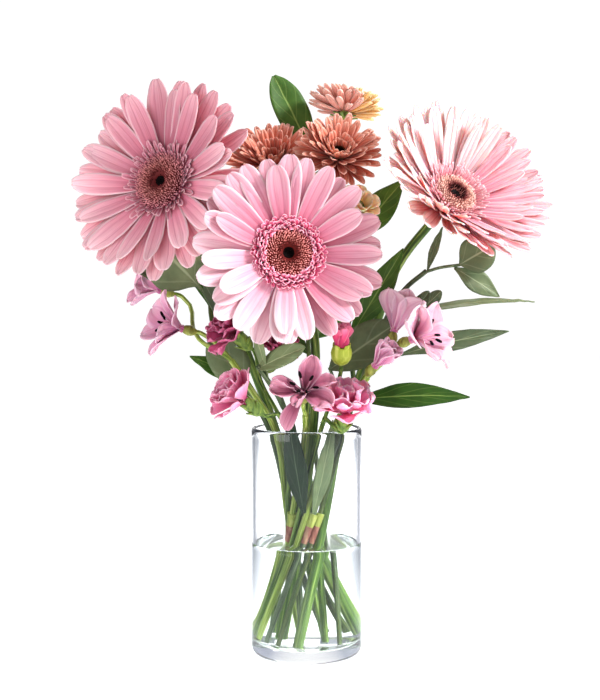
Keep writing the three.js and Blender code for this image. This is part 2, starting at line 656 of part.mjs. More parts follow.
// The water follows the inside of the vase, and every stem stands in a plain hole in it.
function water() {
  const outer = VASE_RADIUS - WALL - GAP;
  const floor = FLOOR + GAP;
  const profile = [
    [0, floor],
    [outer - 3.3, floor],
    [outer, floor + FLOOR_BEVEL],
    [outer, WATER_LEVEL],
    [0, WATER_LEVEL],
  ];
  const standing = [
    ...Object.values(gerberaStems).map((stem) => ({ ...stem, radius: GERBERA_STEM })),
    ...Object.values(sprays),
  ];
  const holes = standing.map((stem) => {
    const [foot, above] = course(stem);
    const run = above.clone().sub(foot).normalize();
    const bottom = foot.clone().addScaledVector(run, -HOLE_CLEARANCE);
    const clear = HOLE_CLEARANCE / Math.cos(Math.PI / sidesOf(stem.radius));
    return solid(tube([bottom, above], stem.radius + clear));
  });
  const fill = solid(turned(profile, VASE_SIDES));
  return geometryOf(holes.reduce((left, hole) => left.subtract(hole), fill));
}

const finish = (color, roughness) => new THREE.MeshStandardMaterial({ color, roughness, metalness: 0 });
const clear = (color, opacity) =>
  new THREE.MeshStandardMaterial({ color, roughness: 0.05, metalness: 0, transparent: true, opacity });

const materials = {
  glass: clear(0xe8f0f2, 0.3),
  water: clear(0xdfeaea, 0.35),
  blushRay: finish(0xf0b6c7, 0.6),
  duskyRay: finish(0xdb8fa5, 0.6),
  paleRay: finish(0xf4c7c9, 0.6),
  coralPetal: finish(0xcf6a52, 0.65),
  peachPetal: finish(0xebc8a3, 0.65),
  mauvePetal: finish(0xcf8fb0, 0.6),
  rosePetal: finish(0xde6b99, 0.65),
  disc: finish(0x8a3b3a, 0.8),
  eye: finish(0x24160c, 0.85),
  stamen: finish(0x2c1420, 0.7),
  stalk: finish(0x6f8f45, 0.55),
  ruscusLeaf: finish(0x3f6b28, 0.4),
  eucalyptusLeaf: finish(0x7d8a62, 0.65),
};

const bouquet = new THREE.Group();

function place(name, geometry, material, bloom) {
  const mesh = new THREE.Mesh(geometry, material);
  mesh.name = name;
  if (bloom) mesh.applyMatrix4(frameOf(bloom));
  bouquet.add(mesh);
}

function greenOf(name) {
  if (name.startsWith("ruscus")) return materials.ruscusLeaf;
  return name.startsWith("eucalyptus") ? materials.eucalyptusLeaf : materials.stalk;
}

place("vase", vase(), materials.glass);
place("water", water(), materials.water);

for (const [side, stem] of Object.entries(gerberaStems)) {
  place(`gerbera_${side}_stem`, gerberaStem(side, stem), materials.stalk);
}
for (const [name, stem] of Object.entries(sprays)) {
  place(`${name}_stem`, leafyStem(name, stem, stem.extra?.()), greenOf(name));
}

const rayColour = { front: materials.blushRay, left: materials.duskyRay, right: materials.paleRay };
for (const [side, bloom] of Object.entries(gerberas)) {
  place(`gerbera_${side}_rays`, gerberaRays(bloom), rayColour[side], bloom);
  place(`gerbera_${side}_disc`, gerberaDisc(), materials.disc, bloom);
}

for (const [side, bloom] of Object.entries(corals)) {
  place(`coral_${side}_petals`, smallPetals(bloom), materials.coralPetal, bloom);
  place(`coral_${side}_eye`, turned(EYE, 8), materials.eye, bloom);
}
place("peach_petals", smallPetals(peach), materials.peachPetal, peach);

for (const [side, bloom] of Object.entries(alstroemerias)) {
  place(`alstroemeria_${side}_tepals`, alstroemeriaTepals(bloom), materials.mauvePetal, bloom);
  place(`alstroemeria_${side}_stamens`, alstroemeriaStamens(bloom), materials.stamen, bloom);
}
place("alstroemeria_low_tepals", alstroemeriaTepals(halfOpen), materials.mauvePetal, halfOpen);

for (const [side, bloom] of Object.entries(carnations)) {
  place(`carnation_${side}_petals`, carnationPetals(bloom), materials.rosePetal, bloom);
}
place("bud_petals", budPetals(bud), materials.rosePetal, bud);

export default bouquet;
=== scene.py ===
"""Gerberas in a vase: finer blooms, leaves, stems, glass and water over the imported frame.

Lengths in the tables and in the modelling are millimetres. A finished piece is settled into the frame in
metres. Angles are degrees.
"""

import math
import random

import bmesh
import bpy
from mathutils import Matrix, Vector


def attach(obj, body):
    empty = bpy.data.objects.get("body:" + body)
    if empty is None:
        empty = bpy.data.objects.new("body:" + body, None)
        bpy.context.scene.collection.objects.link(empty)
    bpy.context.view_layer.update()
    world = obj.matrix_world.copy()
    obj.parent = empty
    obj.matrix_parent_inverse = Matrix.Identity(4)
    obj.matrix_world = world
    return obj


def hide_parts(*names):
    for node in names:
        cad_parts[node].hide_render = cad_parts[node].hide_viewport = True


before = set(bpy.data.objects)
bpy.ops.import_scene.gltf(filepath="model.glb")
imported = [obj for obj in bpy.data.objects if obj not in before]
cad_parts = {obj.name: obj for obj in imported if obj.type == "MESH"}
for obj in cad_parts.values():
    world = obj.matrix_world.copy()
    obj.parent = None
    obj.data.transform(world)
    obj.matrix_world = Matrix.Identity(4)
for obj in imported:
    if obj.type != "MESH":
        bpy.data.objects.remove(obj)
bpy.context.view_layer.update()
ops = bpy.ops
MM = 0.001
UP = Vector((0, 0, 1))

# Vase, water and the two shells of stems that stand in it
VASE_RADIUS = 38
VASE_HEIGHT = 156
WALL = 2.5
FLOOR = 8.5
WATER_LEVEL = 76
WAIST_HEIGHT = 84
FOOT_HEIGHT = FLOOR + 2.2
STRAIGHT_TO = WATER_LEVEL + 24
# Each shell: how near to the axis its stems pass at the waist, and how much they lean aside as they rise
OUTER = {"waist": 13, "lean": 0.3287}
INNER = {"waist": 5.6, "lean": 0.163}

# Radii of stems
GERBERA_STEM = 3.3
SPRAY_STEM = 2.1
LEAFY_STEM = 1.7
PEDICEL = 1.5
CARNATION_STALK = 1.4
TWIG = 1.1

# Outlines from root to tip: the share of the length, and the share of the width
RAY = [(0, 0.46), (0.22, 0.76), (0.5, 0.98), (0.72, 1), (0.87, 0.84), (0.955, 0.56), (1, 0.26)]
SPOON = [(0, 0.5), (0.35, 0.85), (0.7, 1), (0.9, 0.85), (1, 0.4)]
STRAP = [(0, 0.5), (0.4, 0.85), (0.7, 1), (0.92, 0.7), (1, 0.2)]
CLUB = [(0, 0.3), (0.45, 0.8), (0.75, 1), (0.93, 0.75), (1, 0.3)]
SLENDER = [(0, 0.42), (0.3, 0.75), (0.6, 1), (0.82, 0.96), (0.94, 0.7), (1, 0.3)]
LANCE = [(0, 0.1), (0.1, 0.3), (0.25, 0.7), (0.42, 1), (0.62, 0.9), (0.82, 0.5), (0.94, 0.2), (1, 0.02)]
ROUND = [(0, 0.07), (0.15, 0.08), (0.24, 0.5), (0.38, 0.9), (0.55, 1), (0.78, 0.86), (0.93, 0.5), (1, 0.1)]
BROAD = [(0, 0.1), (0.12, 0.48), (0.3, 0.86), (0.5, 1), (0.75, 0.88), (0.92, 0.5), (1, 0.12)]
TEPAL = [(0, 0.22), (0.3, 0.6), (0.62, 1), (0.84, 0.86), (0.95, 0.45), (1, 0.1)]
FAN = [(0, 0.14), (0.3, 0.34), (0.6, 0.74), (0.82, 1), (0.94, 0.94), (1, 0.66)]

# Where each bloom sits, which way it looks and how far its petals reach. Cup raises all its rays, near lifts
# those on the camera's side, or dips them below 0, and missing is one that has fallen. Each bloom draws its
# chance from a seed of its own.
gerberas = {
    "front": {
        "at": [-12, -62, 272], "facing": [0.19, -0.97, 0.13],
        "reach": 62, "count": 15, "width": 13.5, "spin": 0, "missing": 13, "seed": 11,
    },
    "left": {
        "at": [-95.5, -28, 321], "facing": [-0.45, -0.86, 0.24],
        "reach": 69, "count": 17, "width": 12.6, "spin": 10, "near": -4, "seed": 23,
    },
    "right": {
        "at": [97, -28, 312], "facing": [0.4, -0.76, 0.52],
        "reach": 67, "count": 18, "width": 11.4, "spin": 0, "cup": 15, "near": 5, "seed": 37,
    },
}
corals = {
    "left": {"at": [-24, 26, 341], "facing": [-0.12, -0.72, 0.68], "reach": 34, "seed": 41},
    "middle": {"at": [21.5, -10, 342], "facing": [0.1, -0.8, 0.6], "reach": 31, "seed": 43},
    "back": {"at": [28, 42, 382], "facing": [0.15, 0.05, 0.98], "reach": 28, "seed": 47},
}
peach = {"at": [35, -22, 306], "facing": [0.45, -0.7, 0.5], "reach": 16, "seed": 53}
alstroemerias = {
    "front": {
        "at": [-2, -54, 182], "facing": [0.04, -0.86, 0.5], "reach": 24, "open": 76, "hanging": 148,
        "wide": 0.74, "curly": 2.2, "seed": 59,
    },
    "right": {
        "at": [67, -45, 217], "facing": [0.78, -0.5, 0.32], "reach": 30, "open": 70, "spin": 20,
        "wide": 1.15, "curly": 1.9, "seed": 61,
    },
    "upper": {"at": [57, -36, 222], "facing": [0.25, 0.05, 0.96], "reach": 29, "open": 32, "seed": 67},
    "left": {"at": [-82, -31, 224], "facing": [-0.88, -0.4, 0.24], "reach": 27, "open": 62, "seed": 71},
    "far": {"at": [-101, 5, 250], "facing": [-0.85, -0.3, 0.25], "reach": 23, "open": 50, "seed": 73},
}
half_open = {"at": [44, -44, 200], "facing": [0.5, -0.6, 0.62], "reach": 21, "open": 18, "seed": 69}
carnations = {
    "upper": {"at": [-46, -40, 220], "facing": [-0.62, -0.5, 0.6], "reach": 17, "cup": 12, "seed": 79},
    "left": {
        "at": [-40, -46, 177], "facing": [-0.7, -0.45, 0.55], "reach": 20, "cup": 36, "calm": 0.5,
        "seed": 83,
    },
    "right": {"at": [24.5, -45, 169], "facing": [0.05, -0.6, 0.8], "reach": 21, "cup": 20, "seed": 89},
    "middle": {"at": [-20, -28, 208], "facing": [0.42, -0.3, 0.86], "reach": 13, "cup": 0, "seed": 97},
}
bud = {"at": [22.5, -44, 213], "facing": [0.02, -0.3, 0.95], "reach": 12}

# Leaves, each from its joint with the stem to its tip, with the way that its face looks
FRONT = [0, -1, 0.15]
leaves = {
    "ruscus_back": [
        {
            "from": [3, 52, 352], "to": [-24, 51, 407], "facing": [0.2, -1, 0.2], "width": 25,
            "outline": BROAD, "arch": 14, "tone": "young",
        },
        {"from": [0, 42, 252], "to": [40, 68, 290], "facing": [0.3, -0.6, 0.7], "width": 20},
        {"from": [-1, 46.5, 285], "to": [-44, 74, 318], "facing": [-0.3, -0.6, 0.7], "width": 20},
        {"from": [2, 34, 205], "to": [-32, 66, 232], "facing": [-0.3, -0.5, 0.7], "width": 19},
        {"from": [2, 36, 215], "to": [38, 64, 236], "facing": [0.3, -0.5, 0.7], "width": 19},
        {"from": [-2, 50, 312], "to": [24, 74, 346], "facing": [0.2, -0.6, 0.7], "width": 18},
    ],
    "ruscus_right": [
        {"from": [32, -10, 175], "to": [108, -32, 177], "facing": [0, -0.85, 0.6], "width": 19, "arch": 26},
        {"from": [29, -13, 218], "to": [65, -12, 278], "facing": [0.1, -1, 0.1], "width": 19, "arch": 22},
        {"from": [31, 3, 283], "to": [68, 14, 327], "facing": [-0.1, -1, 0.1], "width": 22, "arch": 16},
        {"from": [31, 4, 285], "to": [36, 3, 320], "facing": FRONT, "width": 8},
    ],
    "ruscus_left": [
        {"from": [-46, -5, 189], "to": [-79, -18, 205], "facing": [0.2, -0.9, 0.4], "width": 13},
        {"from": [-66, 3, 238], "to": [-84, 12, 292], "facing": [0.3, -1, 0], "width": 17},
        {"from": [-62, 12, 286], "to": [-49, 22, 334], "facing": FRONT, "width": 17},
        {"from": [-63, 10, 274], "to": [-75, 6, 317], "facing": [-0.4, -1, 0], "width": 9},
    ],
    "eucalyptus_left": [
        {
            "from": [-69, -14, 248], "to": [-104, -24, 285], "facing": [0.1, -1, 0.25],
            "width": 42, "outline": ROUND, "fold": 0.08,
        },
        {
            "from": [-69, -14, 249], "to": [-119, -12, 272], "facing": [-0.2, -0.9, 0.5], "width": 22,
            "outline": ROUND,
        },
        {"from": [-61, -14, 233], "to": [-58, -27, 273], "facing": [-0.3, -1, -0.2], "width": 18},
        {
            "from": [-37, -14, 181], "to": [-64, -16, 219], "facing": [-0.2, -1, 0.1], "width": 26,
            "outline": ROUND,
        },
    ],
    "eucalyptus_front": [
        {
            "from": [-25, -37, 189], "to": [-33, -47, 238], "facing": [-0.8, -0.6, -0.1], "width": 12,
            "arch": 16,
        },
        {
            "from": [-32, -41, 198], "to": [-1, -56, 212], "facing": [0.1, -0.75, 0.6],
            "width": 16, "outline": BROAD, "arch": 12,
        },
    ],
    "eucalyptus_right": [
        {
            "from": [15.6, -24, 197], "to": [59, -27, 227], "facing": [-0.2, -1, 0.1],
            "width": 27, "outline": BROAD, "arch": 16,
        },
        {
            "from": [62, -17, 232], "to": [153, -18, 240], "facing": [0, -0.35, 0.95], "width": 12,
            "arch": 22,
        },
        {
            "from": [69, -18, 233], "to": [81, -26, 249], "facing": [0.4, -0.9, 0.3], "width": 9,
            "outline": ROUND,
        },
        {
            "from": [75, -18, 235], "to": [90, -20, 249], "facing": [0.3, -0.9, 0.3], "width": 9,
            "outline": ROUND,
        },
        {"from": [62, -17, 206], "to": [137, -10, 221], "facing": [0, -0.9, 0.45], "width": 14, "arch": 24},
        {"from": [81, -15, 262], "to": [92, -14, 292], "facing": [-0.5, -0.8, 0], "width": 6},
        {
            "from": [100, -10, 265], "to": [126, -14, 280], "facing": [0.1, -1, 0.2],
            "width": 25, "outline": ROUND, "fold": 0.08,
        },
        {"from": [100, -10, 265], "to": [131, -5, 245], "facing": [0.1, -1, 0.3], "width": 16},
        {
            "from": [3.7, -13, 95], "to": [17, -31, 164], "facing": [0.4, -0.9, 0.3], "width": 12,
            "arch": 10, "tone": "grey",
        },
    ],
    "alstroemeria_right": [
        {
            "from": [-1.2, -13.4, 95], "to": [-12, -33, 170], "facing": [-0.3, -0.95, 0.3], "width": 15,
            "arch": 10,
        },
    ],
}

# Twigs that carry the eucalyptus leaves out from their stem
eucalyptus_twigs = [
    [[27.5, -13.8, 165], [22, -20, 181], [15, -23.6, 198]],
    [[52, -12, 226], [62, -17, 232], [77, -18, 235]],
    [[41, -14, 198], [52, -16, 203], [70, -17.5, 208]],
    [[80, -15.5, 262], [90, -12, 265], [104, -10, 267]],
]

# How each stem stands in the vase: its shell, the turn of its mouth at the rim, and its way on above the rim
gerbera_stems = {
    "front": {"shell": INNER, "mouth": 290, "via": [[6, -18, 195], [4, -22, 225], [-6, -24, 252]]},
    "left": {"shell": OUTER, "mouth": 148, "via": [[-35, 10, 190], [-52, 4, 235], [-70, -4, 280]]},
    "right": {"shell": OUTER, "mouth": 21, "via": [[37, 8, 190], [48, 8, 225], [62, 4, 265]]},
}
sprays = {
    "coral": {
        "shell": INNER, "mouth": 90, "radius": SPRAY_STEM,
        "via": [[4, 18, 200], [10, 20, 240], [14, 18, 275]],
    },
    "ruscus_back": {
        "shell": OUTER, "mouth": 80, "radius": LEAFY_STEM,
        "via": [[2, 34, 200], [0, 42, 250], [-2, 50, 310], [3, 52, 356]],
    },
    "ruscus_right": {
        "shell": OUTER, "mouth": 353, "radius": LEAFY_STEM,
        "via": [[32, -10, 178], [30, -14, 205], [28, -10, 240], [31, 4, 286]],
    },
    "ruscus_left": {
        "shell": OUTER, "mouth": 175, "radius": LEAFY_STEM,
        "via": [[-40, -4, 180], [-56, -5, 205], [-66, 2, 235], [-62, 12, 288]],
    },
    "eucalyptus_left": {
        "shell": OUTER, "mouth": 196, "radius": LEAFY_STEM,
        "via": [[-38, -14, 182], [-52, -16, 215], [-62, -14, 236], [-70, -14, 250]],
    },
    "eucalyptus_front": {
        "shell": INNER, "mouth": 228, "radius": LEAFY_STEM,
        "via": [[-16, -23, 172], [-20, -32, 181], [-32, -42, 200]],
    },
    "eucalyptus_right": {
        "shell": OUTER, "mouth": 332, "radius": LEAFY_STEM,
        "via": [[34, -15, 178], [43, -14, 205], [53, -12, 229], [66, -11, 250], [81, -13, 263]],
    },
    "alstroemeria_left": {
        "shell": OUTER, "mouth": 217, "radius": SPRAY_STEM, "via": [[-36, -25, 182], [-50, -28, 203]],
    },
    "alstroemeria_front": {
        "shell": OUTER, "mouth": 268, "radius": SPRAY_STEM, "via": [[-1, -32, 167]],
    },
    "alstroemeria_right": {
        "shell": OUTER, "mouth": 311, "radius": SPRAY_STEM, "via": [[28, -29, 176], [40, -33, 192]],
    },
    "carnation_left": {
        "shell": OUTER, "mouth": 242, "radius": LEAFY_STEM, "via": [[-19, -31, 168]],
    },
    "carnation_right": {
        "shell": OUTER, "mouth": 290, "radius": LEAFY_STEM, "via": [[12, -31, 165]],
    },
    "carnation_middle": {
        "shell": INNER, "mouth": 180, "radius": LEAFY_STEM, "via": [[-17, -10, 175], [-24, -20, 186]],
    },
}


def colour(code):
    """An sRGB hex colour as the linear one that shaders take."""
    parts = [int(code[i : i + 2], 16) / 255 for i in (1, 3, 5)]
    return [c / 12.92 if c <= 0.04045 else ((c + 0.055) / 1.055) ** 2.4 for c in parts] + [1]


def add(tree, kind, values=None, feeds=None, stops=None, **options):
    """Adds one node with its options, socket values, links and, for a ramp, its (place, colour) stops."""
    made = tree.nodes.new("ShaderNode" + kind)
    for name, value in options.items():
        setattr(made, name, value)
    for name, value in (values or {}).items():
        made.inputs[name].default_value = value
    for name, source in (feeds or {}).items():
        tree.links.new(source, made.inputs[name])
    if stops:
        marks = made.color_ramp.elements
        while len(marks) < len(stops):
            marks.new(0.5)
        for mark, (place, code) in zip(marks, stops):
            mark.position = place
            mark.color = colour(code)
    return made


def reckon(tree, operation, first, second=None):
    """A sum on an output with, where it takes two, a number or another output."""
    made = add(tree, "Math", feeds={0: first}, operation=operation)
    if isinstance(second, (int, float)):
        made.inputs[1].default_value = second
    elif second is not None:
        tree.links.new(second, made.inputs[1])
    return made.outputs[0]


def spread(tree, value, low=0, high=1, first=0, last=1):
    """Turns low into first and high into last, evenly between them and level beyond."""
    limits = {"From Min": low, "From Max": high, "To Min": first, "To Max": last}
    return add(tree, "MapRange", limits, {"Value": value}).outputs[0]


def blend(tree, share, first, second):
    """From the first colour to the second, an output or a hex colour, as the share goes from 0 to 1."""
    made = add(tree, "Mix", feeds={0: share, 6: first}, data_type="RGBA")
    if isinstance(second, str):
        made.inputs[7].default_value = colour(second)
    else:
        tree.links.new(second, made.inputs[7])
    return made.outputs[2]


def noise(tree, place, scale, detail, rough=0.5):
    """Clouds, scale of them to a unit of the place that they are read at."""
    values = {"Scale": scale, "Detail": detail, "Roughness": rough}
    return add(tree, "TexNoise", values, {"Vector": place}).outputs[0]


def own_number(tree, name):
    """A number that copy_of gives to a piece's points."""
    return add(tree, "Attribute", attribute_name=name).outputs["Fac"]


def emboss(tree, skin, height, strength, depth, invert=False):
    """Lets the light see the height as relief, depth mm deep."""
    values = {"Strength": strength, "Distance": depth * MM}
    made = add(tree, "Bump", values, {"Height": height}, invert=invert)
    tree.links.new(made.outputs[0], skin.inputs["Normal"])


def new_material(name, **shader):
    """A material with one Principled shader, and its tree, for what reads its surface from a pattern."""
    material = bpy.data.materials.new(name)
    material.use_nodes = True
    tree = material.node_tree
    principled = tree.nodes["Principled BSDF"]
    for socket, value in shader.items():
        principled.inputs[socket.replace("_", " ")].default_value = value
    return material, tree, principled


def clear_material(name, tint, ior):
    """A clear solid: mirror-smooth, bends the view through it, and lets the light on to what it holds."""
    material, tree, skin = new_material(
        name, Base_Color=colour(tint), Roughness=0.0, IOR=ior, Transmission_Weight=1.0,
    )
    shadow = add(tree, "LightPath").outputs["Is Shadow Ray"]
    through = add(tree, "BsdfTransparent", {"Color": colour(tint)})
    both = add(tree, "MixShader", feeds={0: shadow, 1: skin.outputs[0], 2: through.outputs[0]})
    tree.links.new(both.outputs[0], tree.nodes["Material Output"].inputs["Surface"])
    return material


def blade_map(tree):
    """Where a point lies on a petal or leaf: across it, along it, and how far off its midline."""
    spot = add(tree, "SeparateXYZ", feeds={0: add(tree, "UVMap", uv_map="UVMap").outputs[0]})
    across = spot.outputs["X"]
    off = reckon(tree, "ABSOLUTE", reckon(tree, "SUBTRACT", across, 0.5))
    return across, spot.outputs["Y"], off


def petal_material(name, stops, streak, rim, veins=7, dark=0.35, light=0.1, strips=3, pale=0.75):
    """Petal skin, soft and matt with a faint sheen. Its colour runs from root to tip. Streaks, of which about
    veins lie side by side, and the grooves between its strips run along it and are darker by dark. Light is
    the share of it that shines through the petal, and pale is how pale its rim is."""
    material, tree, skin = new_material(
        name, Roughness=0.55, Subsurface_Weight=light, Subsurface_Scale=0.002, Sheen_Weight=0.1,
        Specular_IOR_Level=0.3,
    )
    across, along, off = blade_map(tree)
    roll = own_number(tree, "roll")
    base = add(tree, "ValToRGB", feeds={0: along}, stops=stops).outputs[0]
    # Each petal reads the pattern at a depth of its own, so that no two have the same streaks.
    depth = reckon(tree, "MULTIPLY", roll, 37.0)
    place = add(tree, "CombineXYZ", feeds={"X": across, "Y": along, "Z": depth})
    # The real veins are finer than a pixel. They are drawn coarser, so that the eye finds them.
    long = add(tree, "Mapping", {"Scale": (veins, 0.8, 1)}, {"Vector": place.outputs[0]})
    streaks = noise(tree, long.outputs[0], 1.6, 4, 0.65)
    streaked = blend(tree, spread(tree, streaks, 0.42, 0.78, 0, dark), base, streak)
    wave = reckon(tree, "COSINE", reckon(tree, "MULTIPLY", across, 2 * math.pi * strips))
    grooved = blend(tree, spread(tree, wave, 0.7, 1, 0, dark * 0.7), streaked, streak)
    rimmed = blend(tree, spread(tree, off, 0.4, 0.49, 0, pale), grooved, rim)
    # No two petals of a bloom have quite the same tone.
    tone = spread(tree, roll, 0, 1, 0.86, 1.1)
    toned = add(tree, "HueSaturation", feeds={"Value": tone, "Color": rimmed})
    tree.links.new(toned.outputs[0], skin.inputs["Base Color"])
    height = reckon(tree, "SUBTRACT", reckon(tree, "MULTIPLY", streaks, 1.4), wave)
    emboss(tree, skin, height, 0.5, 0.3)
    return material


def leaf_material(name, stops, rib, rough=0.4, veins=26, coat=0.0):
    """Leaf skin: a pale midrib along the middle, side veins that slant off it, and clouds of lighter and
    darker green between them, about 10 mm across."""
    material, tree, skin = new_material(
        name, Roughness=rough, Subsurface_Weight=0.04, Subsurface_Scale=0.001, Coat_Weight=coat,
        Specular_IOR_Level=0.3,
    )
    _, along, off = blade_map(tree)
    cloud = noise(tree, add(tree, "TexCoord").outputs["Object"], 95, 4, 0.6)
    rolled = reckon(tree, "MULTIPLY", own_number(tree, "roll"), 0.35)
    tone = reckon(tree, "ADD", rolled, reckon(tree, "MULTIPLY", cloud, 0.5))
    green = add(tree, "ValToRGB", feeds={0: tone}, stops=stops).outputs[0]
    run = reckon(tree, "SUBTRACT", along, reckon(tree, "MULTIPLY", off, 0.8))
    sine = reckon(tree, "SINE", reckon(tree, "MULTIPLY", run, veins))
    side = spread(tree, sine, 0.9, 1, 0, 0.22)
    midrib = spread(tree, off, 0.012, 0.034, 0.75, 0)
    veined = reckon(tree, "MAXIMUM", side, midrib)
    tree.links.new(blend(tree, veined, green, rib), skin.inputs["Base Color"])
    emboss(tree, skin, veined, 0.5, 0.3, invert=True)
    return material


def stalk_material(name, stops, rough=0.42, grain=1.0, lengthwise=True):
    """Skin over fibres, with fine ridges and lighter and darker streaks. On a stalk they run along it, by its
    own UV map. On short cups and collars they run up and down, with grain of them to the metre."""
    material, tree, skin = new_material(name, Roughness=rough, Specular_IOR_Level=0.35)
    if lengthwise:
        own = add(tree, "SeparateXYZ", feeds={0: add(tree, "UVMap", uv_map="UVMap").outputs[0]})
        place = add(tree, "CombineXYZ", feeds={"X": own.outputs["X"], "Y": own.outputs["Y"]})
        long = add(tree, "Mapping", {"Scale": (5, 9, 1)}, {"Vector": place.outputs[0]})
    else:
        body = add(tree, "TexCoord")
        long = add(tree, "Mapping", {"Scale": (1, 1, 0.12)}, {"Vector": body.outputs["Object"]})
    fibre = noise(tree, long.outputs[0], grain, 3, 0.6)
    tint = add(tree, "ValToRGB", feeds={0: fibre}, stops=stops)
    tree.links.new(tint.outputs[0], skin.inputs["Base Color"])
    emboss(tree, skin, fibre, 0.2, 0.2)
    return material


def floret_material(name, stops, foot=0.45):
    """Packed floret tips, each of its own tone, over a foot that is darker by foot: painted shade down
    between the packed florets. The colour runs by their share of the way out from the eye. The grains are 0.4
    mm across, coarser than pollen, so they show."""
    material, tree, skin = new_material(name, Roughness=0.75, Specular_IOR_Level=0.1)
    tint = add(tree, "ValToRGB", feeds={0: own_number(tree, "share")}, stops=stops).outputs[0]
    tone = spread(tree, own_number(tree, "roll"), 0, 1, 0.7, 1.35)
    toned = add(tree, "HueSaturation", feeds={"Value": tone, "Color": tint})
    rise = spread(tree, own_number(tree, "top"), 0.35, 0.9)
    # The darker foot is painted shade where the florets crowd.
    shaded = add(tree, "HueSaturation", {"Saturation": 1.15, "Value": foot}, {"Color": tint})
    tipped = blend(tree, rise, shaded.outputs[0], toned.outputs[0])
    tree.links.new(tipped, skin.inputs["Base Color"])
    emboss(tree, skin, noise(tree, add(tree, "TexCoord").outputs["Object"], 2500, 2), 0.4, 0.2)
    return material


def deselect():
    """Operators act on all that is selected, so each piece starts from nothing."""
    for item in bpy.context.selected_objects:
        item.select_set(False)


def pick(mesh, verts):
    """Selects just these points of the mesh in edit mode."""
    for vert in mesh.verts:
        vert.select = False
    mesh.select_flush(False)
    for vert in verts:
        vert.select = True
    mesh.select_flush(True)


def finished(piece):
    """Takes a modelled object's mesh away from it, for copies to be made of."""
    mesh = piece.data
    bpy.data.objects.remove(piece)
    return mesh


def apply(piece, kind, **settings):
    """Adds a modifier with its settings and applies it."""
    made = piece.modifiers.new(kind.title(), kind)
    for name, value in settings.items():
        setattr(made, name, value)
    ops.object.modifier_apply(modifier=made.name)


def share_at(outline, place):
    """The share of the width at a place, on a smooth line through the points of an outline."""
    last = len(outline) - 1
    k = next((i for i in range(last) if place <= outline[i + 1][0]), last - 1)
    slopes = []
    for i in (k, k + 1):
        before, after = outline[max(i - 1, 0)], outline[min(i + 1, last)]
        slopes.append((after[1] - before[1]) / (after[0] - before[0]))
    (low, a), (high, b) = outline[k], outline[k + 1]
    step = high - low
    t = (place - low) / step
    rise = t * t * (3 - 2 * t)
    return a + (b - a) * rise + step * t * (1 - t) * ((1 - t) * slopes[0] - t * slopes[1])


def blade(
    length, width, outline, curl=0, fold=0, cup=0, ripple=0, twist=0, columns=4, rows=9, thick=0.5, crumple=0,
    waves=1.5, teeth=0, seed=1,
):
    """One petal or leaf along +Y from its root at the origin, face up. It bends up by curl. Fold lifts its
    two halves in a V, cup lifts its edges, ripple lifts and lowers its outer part in waves, twist turns its
    tip, crumple dents it and teeth cut its end. Its underside has the second material slot."""
    chance = random.Random(seed)
    deselect()
    ops.mesh.primitive_grid_add(x_subdivisions=columns, y_subdivisions=rows, size=1, location=(0, 0.5, 0))
    ops.object.transform_apply(location=True, rotation=True, scale=True)
    piece = bpy.context.object
    ops.object.mode_set(mode="EDIT")
    ops.mesh.select_mode(type="VERT")
    mesh = bmesh.from_edit_mesh(piece.data)
    lines = [[v for v in mesh.verts if round(v.co.y * rows) == k] for k in range(rows + 1)]
    strips = [[v for v in mesh.verts if round((v.co.x + 0.5) * columns) == k] for k in range(columns + 1)]
    ops.transform.resize(value=(width, length, 1), center_override=(0, 0, 0))
    phase = chance.uniform(0, 6)
    for k, strip in enumerate(strips):
        side = abs(2 * k / columns - 1)
        lift = (fold * side + cup * side * side) * width / 2
        pick(mesh, strip)
        ops.transform.translate(value=(0, 0, lift))
        if ripple:
            wave = ripple * math.sin(2 * math.pi * waves * k / columns + phase) / 3
            # The waves grow in three steps towards the tip.
            for low in (0.35, 0.6, 0.85):
                pick(mesh, [v for v in strip if v.co.y > length * low])
                ops.transform.translate(value=(0, 0, wave))
    # The rows stand closer together towards the tip, where the outline turns.
    places = [1 - (1 - k / rows) ** 1.35 for k in range(rows + 1)]
    for k, line in enumerate(lines):
        share = share_at(outline, places[k])
        pick(mesh, line)
        ops.transform.resize(value=(share, 1, max(share, 0.3)), center_override=(0, k / rows * length, 0))
        if 0 < k < rows:
            ops.transform.translate(value=(0, (places[k] - k / rows) * length, 0))
    if teeth:
        pick(mesh, [v for strip in strips[1::2] for v in strip if v in set(lines[-1])])
        ops.transform.translate(value=(0, -teeth, 0))
        pick(mesh, [v for strip in strips[::4] for v in strip if v in set(lines[-1])])
        ops.transform.translate(value=(0, -teeth * 0.6, 0))
    step = math.radians(curl) / rows
    for k in range(rows):
        middle = sum((v.co for v in lines[k]), Vector()) / len(lines[k])
        pick(mesh, [v for later in lines[k + 1 :] for v in later])
        ops.transform.rotate(value=-step, orient_axis="X", center_override=middle)
        if twist:
            ops.transform.rotate(value=math.radians(twist) / rows, orient_axis="Y", center_override=middle)
    ops.object.mode_set(mode="OBJECT")
    if crumple:
        # Clouds dent the blade more and more from its root, which stays put.
        free = piece.vertex_groups.new(name="free")
        for k in range(rows + 1):
            for c in range(columns + 1):
                free.add([k * (columns + 1) + c], min(1, 1.6 * k / rows), "REPLACE")
        dents = bpy.data.textures.new("dents", "CLOUDS")
        dents.noise_scale = max(width * 0.55, 2)
        away = Matrix.Translation((chance.uniform(0, 90), chance.uniform(0, 90), 0))
        piece.data.transform(away)
        apply(
            piece, "DISPLACE", texture=dents, direction="Z", strength=crumple, mid_level=0.5,
            texture_coords="LOCAL", vertex_group="free",
        )
        piece.data.transform(away.inverted())
    piece.data.materials.append(None)
    piece.data.materials.append(None)
    apply(piece, "SOLIDIFY", thickness=thick, offset=0, material_offset=1)
    ops.object.shade_smooth()
    return finished(piece)


